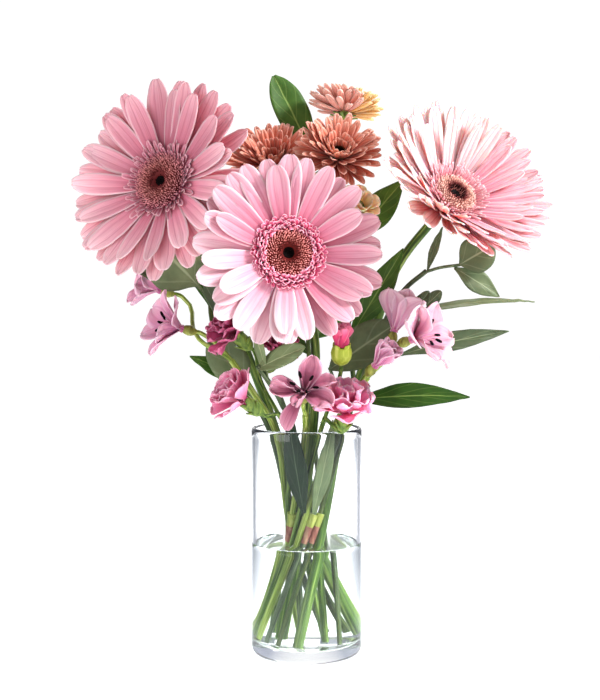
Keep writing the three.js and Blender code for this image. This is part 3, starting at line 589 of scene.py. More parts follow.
def turned(profile, sides=24, angle=50):
    """A round form about Z, pulled up ring by ring from a disc of the profile's first radius and height."""
    deselect()
    (radius, height), *rest = profile
    ops.mesh.primitive_circle_add(vertices=sides, radius=radius, fill_type="NGON", location=(0, 0, height))
    ops.object.transform_apply(location=True, rotation=True, scale=True)
    piece = bpy.context.object
    ops.object.mode_set(mode="EDIT")
    for across, up in rest:
        ops.mesh.extrude_region_move(TRANSFORM_OT_translate={"value": (0, 0, up - height)})
        ops.transform.resize(value=(across / radius, across / radius, 1), center_override=(0, 0, up))
        radius, height = across, up
    ops.mesh.select_all(action="SELECT")
    ops.mesh.normals_make_consistent(inside=False)
    ops.object.mode_set(mode="OBJECT")
    ops.object.shade_smooth_by_angle(angle=math.radians(angle))
    return finished(piece)


def tube(points, radius, end=None):
    """A round stalk through the points, tapering to the radius end."""
    line = bpy.data.curves.new("stalk", "CURVE")
    line.dimensions = "3D"
    line.bevel_depth = radius
    line.bevel_resolution = 3
    line.resolution_u = 5
    line.use_fill_caps = True
    path = line.splines.new("BEZIER")
    path.bezier_points.add(len(points) - 1)
    for k, (knot, point) in enumerate(zip(path.bezier_points, points)):
        knot.co = point
        knot.handle_left_type = knot.handle_right_type = "AUTO"
        knot.radius = 1 + ((end or radius) / radius - 1) * k / (len(points) - 1)
    piece = bpy.data.objects.new("stalk", line)
    bpy.context.scene.collection.objects.link(piece)
    deselect()
    piece.select_set(True)
    bpy.context.view_layer.objects.active = piece
    ops.object.convert(target="MESH")
    ops.object.mode_set(mode="EDIT")
    ops.mesh.select_all(action="SELECT")
    ops.mesh.remove_doubles(threshold=0.001)
    ops.mesh.normals_make_consistent(inside=False)
    ops.object.mode_set(mode="OBJECT")
    ops.object.shade_smooth_by_angle(angle=math.radians(60))
    return finished(piece)


def cone(radius, depth, sides, tip):
    """A small closed floret or anther that stands on the origin."""
    deselect()
    ops.mesh.primitive_cone_add(
        vertices=sides, radius1=radius, radius2=tip, depth=depth, location=(0, 0, depth / 2),
    )
    ops.object.transform_apply(location=True, rotation=True, scale=True)
    ops.object.shade_smooth()
    return finished(bpy.context.object)


def copy_of(model, material, place=None, roll=0.5, share=0.5):
    """A copy with its own mesh, in its place, that carries its roll and share for its material to read.
    A pair of materials is for the upper side and the underside of a blade."""
    mesh = model.copy()
    upper, lower = material if isinstance(material, tuple) else (material, material)
    lows = [v.co.z for v in mesh.vertices]
    low, tall = min(lows), max(lows) - min(lows) or 1
    top = mesh.attributes.new("top", "FLOAT", "POINT")
    top.data.foreach_set("value", [(z - low) / tall for z in lows])
    mesh.transform(place or Matrix())
    for name, value in (("roll", roll), ("share", share)):
        layer = mesh.attributes.new(name, "FLOAT", "POINT")
        layer.data.foreach_set("value", [value] * len(mesh.vertices))
    if not mesh.materials:
        mesh.materials.append(upper)
    mesh.materials[0] = upper
    if len(mesh.materials) > 1:
        mesh.materials[1] = lower
    return mesh


def settle(name, meshes, slot, *nodes):
    """Joins the meshes into one piece at the origin, in metres, and lets it stand for the CAD nodes."""
    deselect()
    for mesh in meshes:
        item = bpy.data.objects.new(name, mesh)
        bpy.context.scene.collection.objects.link(item)
        item.select_set(True)
        bpy.context.view_layer.objects.active = item
    if len(meshes) > 1:
        ops.object.join()
    piece = bpy.context.view_layer.objects.active
    piece.name = name
    piece.data.transform(Matrix.Scale(MM, 4))
    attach(piece, "root")
    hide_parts(*nodes)


def seat(bloom):
    """A bloom's own frame: its seat at the origin, looking along +Z."""
    turned_up = UP.rotation_difference(Vector(bloom["facing"]))
    return Matrix.Translation(bloom["at"]) @ turned_up.to_matrix().to_4x4()


def spoke(turn, radius, height, rise=0, roll=0, size=1):
    """Where a petal stands round Z: its turn, rise and roll, and its root at the radius and height."""
    return (
        Matrix.Rotation(math.radians(turn), 4, "Z")
        @ Matrix.Translation((0, radius, height))
        @ Matrix.Rotation(math.radians(rise), 4, "X")
        @ Matrix.Rotation(math.radians(roll), 4, "Y")
        @ Matrix.Scale(size, 4)
    )


def resized(models, across, along):
    """Copies of the models, scaled in their width, and in their length and depth."""
    made = [model.copy() for model in models]
    for model in made:
        model.transform(Matrix.Diagonal((across, along, along, 1)))
    return made


def ring(
    models, material, place, chance, count, radius, height, rise, step=0, spin=0, loose=1, lift=None,
    missing=None,
):
    """Copies of the models round a bloom, each off the rule by as much as the ring is loose. Step turns the
    whole ring by a share of the gap between two. Lift adds to the rise by the turn. A material may also be a
    function that picks one by a petal's place."""
    made = []
    for k in range(count):
        if k == missing:
            continue
        turn = spin + 360 * (k + step + 0.12 * loose * chance.uniform(-1, 1)) / count
        higher = rise + (lift(turn) if lift else 0)
        pose = spoke(
            turn, radius,
            height + 0.3 * loose * chance.uniform(-1, 1),
            higher + 3.5 * loose * chance.uniform(-1, 1),
            5 * loose * chance.uniform(-1, 1),
            1 + 0.04 * loose * chance.uniform(-1, 1),
        )
        model = models[(k * 7 + int(chance.random() * 2)) % len(models)]
        skin = material(place @ pose) if callable(material) else material
        made.append(copy_of(model, skin, place @ pose, chance.random()))
    return made


# Surfaces: what each one is, how it grew or was made, and what that gives the eye

# Clear glass, blown in a mould and polished by the flame at its rim: no grain and no tint, just hard glints
# and a bent view of what stands behind it. Water that stands still is as smooth, and bends the stems in it
# a little less.
glass = clear_material("blown_clear_glass", "#fbfcfd", ior=1.45)
clear_water = clear_material("still_water", "#fafdfb", ior=1.333)

# The skin of a gerbera ray is one layer of tiny domed cells over an airy bed. They scatter the light, so
# that the ray looks like velvet, pale at its rim and tip, with long darker streaks where its veins run. The
# blush skin is the front head's, with a lighter copy of it that is painted light on the rays that face the
# lamp. The rose skin is the left head's, with a darker copy of it that is painted shade on the rays that
# point up. The pale and the rosy one are the right head's. The undersides have fewer domes and duller
# streaks. The right head's are seen against the light, which turns orange on its way through them.
blush_ray = petal_material(
    "gerbera_ray_blush", [(0, "#c24e72"), (0.16, "#cb7089"), (0.5, "#d392a4"), (1, "#e5b8c2")],
    streak="#b65672", rim="#f6e0e5", veins=15, dark=0.6, pale=0.6,
)
# A lighter copy of the blush skin: painted light on the front head's rays that face the lamp.
painted_light_ray = petal_material(
    "gerbera_ray_light", [(0, "#dc7696"), (0.16, "#e79fb4"), (0.5, "#edbdc9"), (1, "#f6d9e0")],
    streak="#cc7a94", rim="#fdeff2", veins=15, dark=0.55, pale=0.6,
)
blush_under = petal_material(
    "gerbera_ray_blush_under", [(0, "#df93a6"), (0.5, "#eab2bf"), (1, "#f4d2d9")],
    streak="#d68ba0", rim="#fbe8ec", veins=14, dark=0.4, pale=0.6,
)
# A darker copy of the rose skin: painted shade on the left head's rays that point up.
painted_shade_ray = petal_material(
    "gerbera_ray_dusky", [(0, "#a64259"), (0.25, "#be6a7e"), (0.6, "#cf8998"), (1, "#e4b0b9")],
    streak="#a04a60", rim="#f0d0d6", veins=14, dark=0.55, pale=0.6,
)
rose_ray = petal_material(
    "gerbera_ray_rose", [(0, "#bc506a"), (0.25, "#d98497"), (0.6, "#ecacb9"), (1, "#f9d3d9")],
    streak="#bc6078", rim="#fbe6e9", veins=14, dark=0.55, pale=0.6,
)
dusky_under = petal_material(
    "gerbera_ray_dusky_under", [(0, "#e2606c"), (0.5, "#ef979f"), (1, "#f8c9cc")],
    streak="#d4606e", rim="#fadadc", veins=12, dark=0.5, light=0.3, pale=0.6,
)
pale_ray = petal_material(
    "gerbera_ray_pale", [(0, "#ea96a2"), (0.2, "#f1c4c7"), (0.5, "#f4dfdd"), (1, "#f6e8e5")],
    streak="#c4566a", rim="#faf0ee", veins=16, dark=0.75, light=0.4, pale=0.5,
)
rosy_ray = petal_material(
    "gerbera_ray_rosy", [(0, "#da6c82"), (0.2, "#e796a6"), (0.55, "#efb8c2"), (1, "#f8dade")],
    streak="#c4566e", rim="#fce8eb", veins=16, dark=0.7, light=0.3, pale=0.6,
)
pale_under = petal_material(
    "gerbera_ray_pale_under", [(0, "#fb4438"), (0.35, "#ff7d6a"), (0.7, "#ffb8a8"), (1, "#ffe9e2")],
    streak="#e8463e", rim="#fff4f0", veins=12, dark=0.6, light=0.6, pale=0.6,
)

# The short florets round the disc have the same skin on a smaller scale, rolled up and so deeper in colour.
frill_petal = petal_material(
    "gerbera_frill", [(0, "#f05a8c"), (0.4, "#f97aa4"), (0.8, "#fea2bf"), (1, "#ffd0dc")],
    streak="#f0689a", rim="#ffd0de", veins=3, dark=0.3, strips=2, pale=0.3,
)
dusky_frill = petal_material(
    "gerbera_frill_dusky", [(0, "#9c3c52"), (0.4, "#bb6478"), (0.8, "#d3899a"), (1, "#e6b0bb")],
    streak="#a44c62", rim="#ecc2ca", veins=3, dark=0.35, strips=2, pale=0.5,
)
pale_frill = petal_material(
    "gerbera_frill_pale", [(0, "#e8788a"), (0.4, "#f29cab"), (0.8, "#f9bcc6"), (1, "#fddcdf")],
    streak="#ea8696", rim="#fde3e4", veins=3, dark=0.3, strips=2, pale=0.5,
)

# The narrow petals of the small blooms are dry and a little papery. They are darker towards the root, where
# they crowd, which is painted shade, and fade to their rims. The salmon and amber ones are older and have
# bleached, the peach one is still half a bud.
coral_petal = petal_material(
    "coral_petal", [(0, "#7c2419"), (0.3, "#bc5743"), (0.7, "#e18a72"), (1, "#f8c4b0")],
    streak="#a84434", rim="#f8c6b2", veins=5, dark=0.4, strips=2, pale=0.35,
)
coral_under = petal_material(
    "coral_petal_under", [(0, "#b04a38"), (0.5, "#dc8a6e"), (1, "#f3bca0")],
    streak="#bf6048", rim="#f4c4aa", veins=5, dark=0.4, strips=2, pale=0.45,
)
salmon_petal = petal_material(
    "salmon_petal", [(0, "#b85a4c"), (0.4, "#e09484"), (0.8, "#f2b8a8"), (1, "#fbdacd")],
    streak="#cc6a58", rim="#fbd6c8", veins=4, dark=0.4, strips=2,
)
amber_petal = petal_material(
    "amber_petal", [(0, "#bf7034"), (0.4, "#e2a656"), (0.8, "#f0c880"), (1, "#f8e0ac")],
    streak="#cf8a44", rim="#f9e4b8", veins=4, dark=0.4, strips=2,
)
peach_petal = petal_material(
    "peach_petal", [(0, "#f4b870"), (0.4, "#ffdf9e"), (1, "#fff5da")],
    streak="#f6c47e", rim="#fff6e0", veins=3, dark=0.2, strips=2, light=0.5, pale=0.5,
)

# Alstroemeria tepals are firm, with a close set of veins from root to tip that the eye reads as fine lines.
mauve_tepal = petal_material(
    "alstroemeria_tepal", [(0, "#a84e7c"), (0.25, "#c8789f"), (0.6, "#dfa0bd"), (1, "#efc9d9")],
    streak="#b8608e", rim="#f3d6e2", veins=9, dark=0.45, pale=0.5,
)
pale_tepal = petal_material(
    "alstroemeria_pale", [(0, "#bc6690"), (0.25, "#d799b5"), (0.6, "#e6baca"), (1, "#eed0da")],
    streak="#c8749c", rim="#f8e4ec", veins=12, dark=0.6, light=0.2, pale=0.4,
)
deep_tepal = petal_material(
    "alstroemeria_deep", [(0, "#34101e"), (0.2, "#74304a"), (0.45, "#b3647f"), (1, "#dca0b2")],
    streak="#82365a", rim="#e6bccd", veins=9, dark=0.45, pale=0.5,
)

# Carnation petals are thin and crumpled like tissue, with no shine. Each fold takes its own shade of the
# colour. They run from nearly wine red inside the bloom, which is painted shade, to pink at their teeth. The
# bud's are still furled, and the darkest at the root.
rose_petal = petal_material(
    "carnation_petal", [(0, "#b83a6c"), (0.4, "#dd6a98"), (0.8, "#ef97b9"), (1, "#f8bfd3")],
    streak="#cc5a88", rim="#f8c6d8", veins=9, dark=0.3, pale=0.3,
)
bright_rose = petal_material(
    "carnation_bright", [(0, "#d63c7c"), (0.4, "#f67fb0"), (0.8, "#ffa8cc"), (1, "#ffd2e4")],
    streak="#ea6098", rim="#ffd6e6", veins=9, dark=0.3, light=0.35, pale=0.3,
)
deep_rose = petal_material(
    "carnation_deep", [(0, "#70183a"), (0.45, "#a2305c"), (0.85, "#c65480"), (1, "#dc80a4")],
    streak="#8c2850", rim="#dc88aa", veins=9, dark=0.35, pale=0.3,
)
bud_rose = petal_material(
    "bud_petal", [(0, "#a81e4c"), (0.5, "#d6406e"), (1, "#f088a6")],
    streak="#a41e4c", rim="#f29cb4", veins=6, dark=0.5, strips=2, pale=0.4,
)

# Anthers and disc florets are small knobs with pollen on them, so they shine nowhere: each is one dull dot.
# In a gerbera's eye they are still closed and nearly black, and round it they have opened and are as pale
# as the rays.
dark_stamen = floret_material("stamen", [(0, "#5d2040"), (0.5, "#3a1426"), (1, "#0c0306")])
blush_floret = floret_material(
    "gerbera_floret_blush",
    [
        (0, "#0e0202"), (0.27, "#180404"), (0.36, "#83302e"),
        (0.55, "#d07e77"), (0.8, "#e69492"), (1, "#ef7f9f"),
    ],
    foot=0.5,
)
dusky_floret = floret_material(
    "gerbera_floret_dusky",
    [
        (0, "#0a0101"), (0.22, "#100202"), (0.3, "#722b2d"),
        (0.55, "#c47975"), (0.9, "#cf848b"), (1, "#d07c8e"),
    ],
)
pale_floret = floret_material(
    "gerbera_floret_pale",
    [
        (0, "#0b0202"), (0.34, "#1a0406"), (0.47, "#8c4444"),
        (0.6, "#d9a092"), (0.85, "#f0c8ba"), (1, "#f3aab4"),
    ],
    foot=0.6,
)
coral_floret = floret_material("coral_floret", [(0, "#080301"), (0.6, "#1a0c06"), (1, "#6a4a22")])

# Ruscus leaves are flat shoots with a tough, waxed skin, deep green with a soft shine. The young one is
# duller. Eucalyptus leaves wear a bloom of white wax, which greys their green and takes the shine off. The
# grey leaf has more of it. The dark one is an alstroemeria's, which hangs in the shade of the vase's mouth:
# its darker green is painted shade.
ruscus_leaf = leaf_material(
    "ruscus_leaf", [(0.1, "#1f3e10"), (0.45, "#325a19"), (0.8, "#507a2a")],
    rib="#84a252", veins=30, coat=0.05,
)
bright_leaf = leaf_material(
    "young_ruscus_leaf", [(0.1, "#284614"), (0.45, "#3b5f1b"), (0.8, "#57792c")],
    rib="#8aa454", rough=0.6,
)
eucalyptus_leaf = leaf_material(
    "eucalyptus_leaf", [(0.1, "#384630"), (0.45, "#536343"), (0.8, "#76835c")],
    rib="#93a07c", rough=0.55, veins=18,
)
grey_leaf = leaf_material(
    "grey_leaf", [(0.1, "#66784f"), (0.45, "#839668"), (0.8, "#a2b284")],
    rib="#b6c496", rough=0.55, veins=20,
)
# A darker copy of a leaf's green: painted shade for the leaf inside the vase's mouth.
shade_leaf = leaf_material(
    "shaded_leaf", [(0.1, "#1f3020"), (0.45, "#31462e"), (0.8, "#4b6344")],
    rib="#6b8060", rough=0.5, veins=22,
)

# Flower stalks are juicy and finely ribbed, with a silky shine along their ribs: a soft one for most and a
# pale one for the alstroemeria. The ruscus and the eucalyptus have begun to turn to wood, and are duller.
# Real ribs are finer than these, which are drawn coarser so that they show.
green_stalk = stalk_material("soft_stalk", [(0.32, "#20360e"), (0.5, "#4a6c22"), (0.68, "#a2ba60")])
pale_stalk = stalk_material("pale_stalk", [(0.32, "#4c681e"), (0.5, "#88a23a"), (0.68, "#cfda88")])
woody_stalk = stalk_material(
    "woody_stalk", [(0.32, "#1e2f12"), (0.5, "#3e5424"), (0.68, "#74783c")],
    rough=0.5, grain=1.4,
)
grey_stalk = stalk_material(
    "grey_stalk", [(0.32, "#2c3c28"), (0.5, "#4e6242"), (0.68, "#84946a")],
    rough=0.5, grain=1.4,
)

# The leaf bases round the stems have dried to brown paper, with a paler collar that is still green. Calyxes,
# ovaries and the bud's cup are firm green skins with fine ribs from foot to rim.
brown_sheath = stalk_material(
    "dry_sheath", [(0.3, "#70382e"), (0.5, "#9c6654"), (0.72, "#c0a07c")],
    rough=0.6, grain=420, lengthwise=False,
)
sheath_collar = stalk_material(
    "sheath_collar", [(0.3, "#7c8c34"), (0.5, "#9caa48"), (0.72, "#bcc46c")],
    rough=0.5, grain=420, lengthwise=False,
)
calyx_green = stalk_material(
    "calyx", [(0.3, "#43602a"), (0.5, "#6d8a3a"), (0.72, "#a0ad4c")],
    rough=0.5, grain=500, lengthwise=False,
)
ovary_green = stalk_material(
    "ovary", [(0.3, "#5c5a26"), (0.5, "#8a8f3c"), (0.72, "#a9b256")],
    rough=0.5, grain=500, lengthwise=False,
)
bud_green = stalk_material(
    "bud_calyx", [(0.3, "#84982e"), (0.5, "#a9b83c"), (0.72, "#ccd268")],
    rough=0.5, grain=400, lengthwise=False,
)


# Vase and water
INSIDE = VASE_RADIUS - WALL
# Beside each bend of a wall stands one more ring, so that the long walls stay flat to the light.
vase_profile = [
    (26, 0), (31, 0), (34.6, 0.3), (36.6, 1.3), (37.7, 3.0), (38, 4.8), (38, 6.6), (38, 149), (38, 153.6),
    (37.75, 155.2), (37.1, 155.9), (36.4, 155.9), (35.75, 155.2), (35.5, 153.6), (35.5, 149), (35.5, 17),
    (35.5, 14), (34.9, 11.6), (33.4, 9.7), (31, 8.75), (28, 8.5), (24, 8.5),
]
settle("vase_glass", [copy_of(turned(vase_profile, 160, 60), glass)], "clear_glass", "vase")
# The water reaches a hair into the glass, so that no film of air shows between them, and climbs it a little.
WET = 0.12
WATER_EDGE = INSIDE + WET
water_profile = [
    (24, FLOOR - WET), (28, FLOOR - WET), (31, 8.65), (33.45, 9.6), (34.98, 11.55), (WATER_EDGE, 14),
    (WATER_EDGE, 17), (WATER_EDGE, WATER_LEVEL - 3), (WATER_EDGE, WATER_LEVEL + 1.0),
    (WATER_EDGE - 0.2, WATER_LEVEL + 1.15), (INSIDE - 0.35, WATER_LEVEL + 0.75),
    (INSIDE - 1.1, WATER_LEVEL + 0.2), (INSIDE - 2.4, WATER_LEVEL), (INSIDE - 5, WATER_LEVEL),
    (1, WATER_LEVEL),
]
settle("water_body", [copy_of(turned(water_profile, 160, 60), clear_water)], "water", "water")


# Gerberas: layers of rays, rings of short curled florets, and a disc packed in the pattern of its seeds
GOLDEN = 137.508
RAY_ROOT = 16.5
# How many florets for the square of the disc's radius, and the share of the radius that has closed dark ones
DISC_DENSITY = 1.9
CLOSED_SHARE = 0.3
# Rays of five forms: their curl, fold, ripple, twist and share of the width
RAY_FORMS = (
    (10, 0.06, 0.5, 8, 1.04), (16, 0.1, 0.7, -10, 0.96), (6, 0.02, 0.6, 4, 1.0), (22, 0.08, 0.9, -5, 0.92),
    (12, 0.04, 0.7, 12, 1.08),
)
# What stands round the disc: short florets rolled like scoops, slips like narrow rays, or a brush of thin
# ones. Each form has its length, width, curl and twist.
SCOOPS = (
    (5.6, 3.5, 50, 20), (5.0, 3.8, 75, -20), (6.2, 3.3, 30, 10), (5.2, 3.6, 60, -30), (5.8, 3.9, 42, 25),
)
SLIPS = ((8.5, 2.5, 14, 12), (7.5, 2.2, 24, -14), (10, 2.8, 4, 18), (6.5, 2.1, 28, -6))
BRUSH = ((10, 1.9, 8, 20), (11, 1.7, 18, -25), (9, 2.1, -4, 14), (10.5, 1.8, 12, -10))


def points_to(pose):
    """The way that a petal points, for skins that turn with it: a head isn't all of one tone. On the front
    and the left head the change of tone is painted light and shade.
    """
    return pose.to_3x3() @ Vector((0, 1, 0))


def blush_side(pose):
    """The front head is lighter where its rays point down and to the left, painted light where they face the
    lamp.
    """
    out = points_to(pose)
    return (painted_light_ray if -out.x - out.z > 0.55 else blush_ray), blush_under


def dusky_side(pose):
    """The left head is darker where its rays point up: painted shade."""
    out = points_to(pose)
    return (painted_shade_ray if out.z + 0.2 * out.x > 0.45 else rose_ray), dusky_under


def rosy_side(pose):
    """The right head is rosier where its rays point to the right and down."""
    out = points_to(pose)
    return (rosy_ray if out.x - 0.5 * out.z > 0.25 else pale_ray), pale_under


# How each head differs: its skins, its rays' share of the solid's width, the forms round its disc and how
# far their edges roll in, the radius of the disc, and the tone of the ground that its florets stand on.
# Each layer of rays: how many for each of the solid's, their height, rise and length, and their turn in
# steps. Each ring round the disc: its radius, height, rise, count and size.
heads = {
    "front": {
        "ray": blush_side, "frill": frill_petal, "floret": blush_floret, "wide": 1.12,
        "layers": [(1, -2.6, 5, 1, 0), (1, -1.4, 11, 0.97, 0.5), (0.45, -0.6, 16, 0.86, 0.2)],
        "forms": SCOOPS, "roll_in": 0.4,
        "rings": [
            (20.6, 0.1, 14, 46, 0.8), (19.6, 0.8, 30, 46, 0.82), (18.6, 1.3, 46, 44, 0.84),
            (17.4, 1.6, 60, 42, 0.84), (16.2, 1.8, 72, 38, 0.8),
        ],
        "disc": 16, "ground": 0.35,
    },
    "left": {
        "ray": dusky_side, "frill": dusky_frill, "floret": dusky_floret, "wide": 1.15,
        "layers": [(1, -2.8, 3, 1, 0), (1, -1.8, 9, 0.98, 0.5), (0.9, -0.9, 15, 0.9, 0.25)],
        "forms": SLIPS, "roll_in": 0.3,
        "rings": [(18.2, -0.2, 18, 24, 1.3), (18.2, 0.3, 30, 32, 1.0), (18, 0.8, 46, 36, 0.7)],
        "disc": 18.5, "ground": 0.31,
    },
    "right": {
        "ray": rosy_side, "frill": pale_frill, "floret": pale_floret, "wide": 0.92,
        "layers": [
            (1.3, -2.8, 4, 1, 0), (1.3, -1.8, 9, 0.98, 0.5), (1.2, -0.9, 14, 0.92, 0.25),
            (0.7, -0.2, 18, 0.74, 0.1),
        ],
        "forms": BRUSH, "roll_in": 0.3,
        "rings": [
            (17.2, -0.4, 14, 48, 1.0), (16.2, 0.3, 26, 54, 0.95), (15.2, 0.9, 38, 52, 0.85),
            (14.4, 1.4, 52, 44, 0.65),
        ],
        "disc": 14, "ground": 0.5,
    },
}


def towards_camera(place, near):
    """Lifts the rays on the camera's side of a head by up to near, or dips them where it is below 0."""
    side = place.to_3x3().inverted() @ Vector((0, -1, 0))
    ahead = math.atan2(-side.x, side.y)
    return lambda turn: near * max(0, math.cos(math.radians(turn) - ahead)) ** 2


def gerbera_petals(side, bloom, head, place, chance):
    """The rays of a head in their layers on the receptacle, and what stands round its disc."""
    cup, near = bloom.get("cup", 0), bloom.get("near", 0)
    rays = [
        blade(
            bloom["reach"] - RAY_ROOT, bloom["width"] * head["wide"] * broad, RAY, curl=curl, fold=fold,
            cup=0.05, ripple=ripple, twist=twist, columns=10, rows=14, crumple=1.6, waves=1, teeth=0.5,
            seed=seed,
        )
        for seed, (curl, fold, ripple, twist, broad) in enumerate(RAY_FORMS, 1)
    ]
    receptacle = turned([(8, -5.2), (13, -5.2), (18.4, -2.6), (18.4, -0.4), (16, 0)], 48)
    meshes = [copy_of(receptacle, head["frill"], place)]
    for depth, (number, height, rise, share, step) in enumerate(head["layers"]):
        meshes += ring(
            resized(rays, 0.5 + 0.5 * share, share), head["ray"], place, chance,
            int(bloom["count"] * number), RAY_ROOT, height, rise + cup, step, bloom["spin"], loose=1.3,
            lift=towards_camera(place, near) if near else None,
            missing=bloom.get("missing") if depth == 0 else None,
        )
    curls = [
        blade(
            length, broad, SPOON, curl=bend, fold=0.1, cup=head["roll_in"], ripple=0.3, twist=twist, rows=5,
            thick=0.45, crumple=0.4, waves=1, seed=seed,
        )
        for seed, (length, broad, bend, twist) in enumerate(head["forms"], 1)
    ]
    for radius, height, rise, number, size in head["rings"]:
        meshes += ring(
            resized(curls, size, size), head["frill"], place, chance, number, radius, height, rise,
            chance.random(), loose=2.2,
        )
    settle(f"gerbera_{side}_petals", meshes, f"gerbera_{side}_rays", f"gerbera_{side}_rays")


def gerbera_disc(side, head, place, chance):
    """Single florets on a domed ground with a dark pad in its middle, closed in the eye and open round it."""
    disc, skin = head["disc"], head["floret"]
    ground = turned(
        [(15.4, 0.4), (15.8, 1.6), (13.4, 3.4), (9.4, 4.0), (5.6, 3.4), (3.5, 2.2), (0.8, 1.6)], 48,
    )
    # The dark pad ends well inside the ring of closed florets, which hide its edge.
    eye = 0.23 * disc
    pad = turned([(0.8, 0.8), (eye, 0.8), (eye, 2.3), (0.5 * eye, 2.0), (0.6, 1.7)], 32)
    florets = [copy_of(ground, skin, place, 0.1, head["ground"]), copy_of(pad, skin, place, 0.1, 0)]
    narrow = cone(0.4, 2.6, 5, 0.36)
    flared = cone(0.36, 3.0, 6, 0.46)
    closed = cone(0.5, 1.6, 5, 0.2)
    number = int(DISC_DENSITY * disc * disc)
    for k in range(number):
        share = math.sqrt((k + 0.5) / number)
        dark = share < CLOSED_SHARE
        radius = disc * share + 0.14 * chance.uniform(-1, 1)
        height = (1.2 if dark else 1.6 + 1.7 * math.sin(math.pi * min(1, share * 1.02))) - 0.3
        pose = spoke(
            k * GOLDEN + 1.2 * chance.uniform(-1, 1), radius,
            height + 0.35 * chance.uniform(-1, 1),
            -38 * share * share + 7 * chance.uniform(-1, 1),
            7 * chance.uniform(-1, 1),
            0.85 + 0.35 * chance.random(),
        )
        model = closed if dark else (flared if chance.random() < 0.5 else narrow)
        florets.append(copy_of(model, skin, place @ pose, chance.random(), share))
    settle(f"gerbera_{side}_florets", florets, "gerbera_disc", f"gerbera_{side}_disc")


for side, bloom in gerberas.items():
    chance = random.Random(bloom["seed"])
    gerbera_petals(side, bloom, heads[side], seat(bloom), chance)
    gerbera_disc(side, heads[side], seat(bloom), chance)


# Small blooms: a dome of narrow cupped petals round a dark tuft
CORE = 4.2
SMALL_PETAL = 5.2
TUFT_COUNT = 110
# Each layer: its count, height and rise, and its petals' share of the length
CORAL_LAYERS = [
    (20, -3.4, -2, 1.0), (20, -2.7, 9, 1.0), (20, -2.0, 20, 0.96), (18, -1.3, 31, 0.86), (16, -0.7, 42, 0.7),
    (16, -0.2, 54, 0.5), (14, 0, 66, 0.32),
]
PEACH_LAYERS = [(7, -3.0, 4, 1.05), (7, -2.0, 22, 1.0), (6, -1.2, 42, 0.9), (5, -0.4, 62, 0.7)]


def small_bloom(name, bloom, petals, layers, slot, wide=1.0):
    """Petals in their layers on a green cup. Gives back the chance, for the florets to draw from."""
    chance = random.Random(bloom["seed"])
    place = seat(bloom)
    models = [
        blade(
            bloom["reach"] - CORE, SMALL_PETAL * wide, SLENDER, curl=curl, fold=0.12, cup=0.3, ripple=ripple,
            twist=twist, rows=8, thick=0.45, crumple=0.9, waves=1, seed=seed,
        )
        for seed, (curl, ripple, twist) in enumerate(
            ((16, 0.3, 8), (34, 0.4, -10), (6, 0.4, 12), (24, 0.2, -5)), 1
        )
    ]
    cup = turned([(3, -5.5), (CORE, -5.5), (5.4, -3), (5, 0), (2, 0.2)], 24)
    meshes = [copy_of(cup, calyx_green, place)]
    for count, height, rise, share in layers:
        meshes += ring(
            resized(models, 0.7 + 0.3 * share, share), petals, place, chance, count, CORE, height, rise,
            chance.random(), loose=1.8,
        )
    settle(f"{name}_bloom", meshes, slot, f"{name}_petals")
    return chance


def tuft(name, bloom, chance):
    """The dark florets in the middle of a coral bloom."""
    place = seat(bloom)
    ground = turned([(3.4, 0.35), (3.6, 1.2), (2.2, 2.4), (0.6, 2.8)], 24)
    floret = cone(0.36, 2.0, 5, 0.22)
    florets = [copy_of(ground, coral_floret, place, 0.3, 0.3)]
    for k in range(TUFT_COUNT):
        share = math.sqrt((k + 0.5) / TUFT_COUNT)
        pose = spoke(k * GOLDEN, 4.1 * share, 1.0 + 1.3 * (1 - share * share), -30 * share)
        florets.append(copy_of(floret, coral_floret, place @ pose, chance.random(), share))
    settle(f"{name}_florets", florets, "coral_eye", f"{name}_eye")


def amber_side(pose):
    """The petals on the right of the back bloom have turned yellow."""
    return amber_petal if points_to(pose).x > 0.45 else salmon_petal


for side, bloom in corals.items():
    skins = amber_side if side == "back" else (coral_petal, coral_under)
    tuft(f"coral_{side}", bloom, small_bloom(f"coral_{side}", bloom, skins, CORAL_LAYERS, "coral_petal"))
small_bloom("peach", peach, peach_petal, PEACH_LAYERS, "peach_petal", wide=1.7)


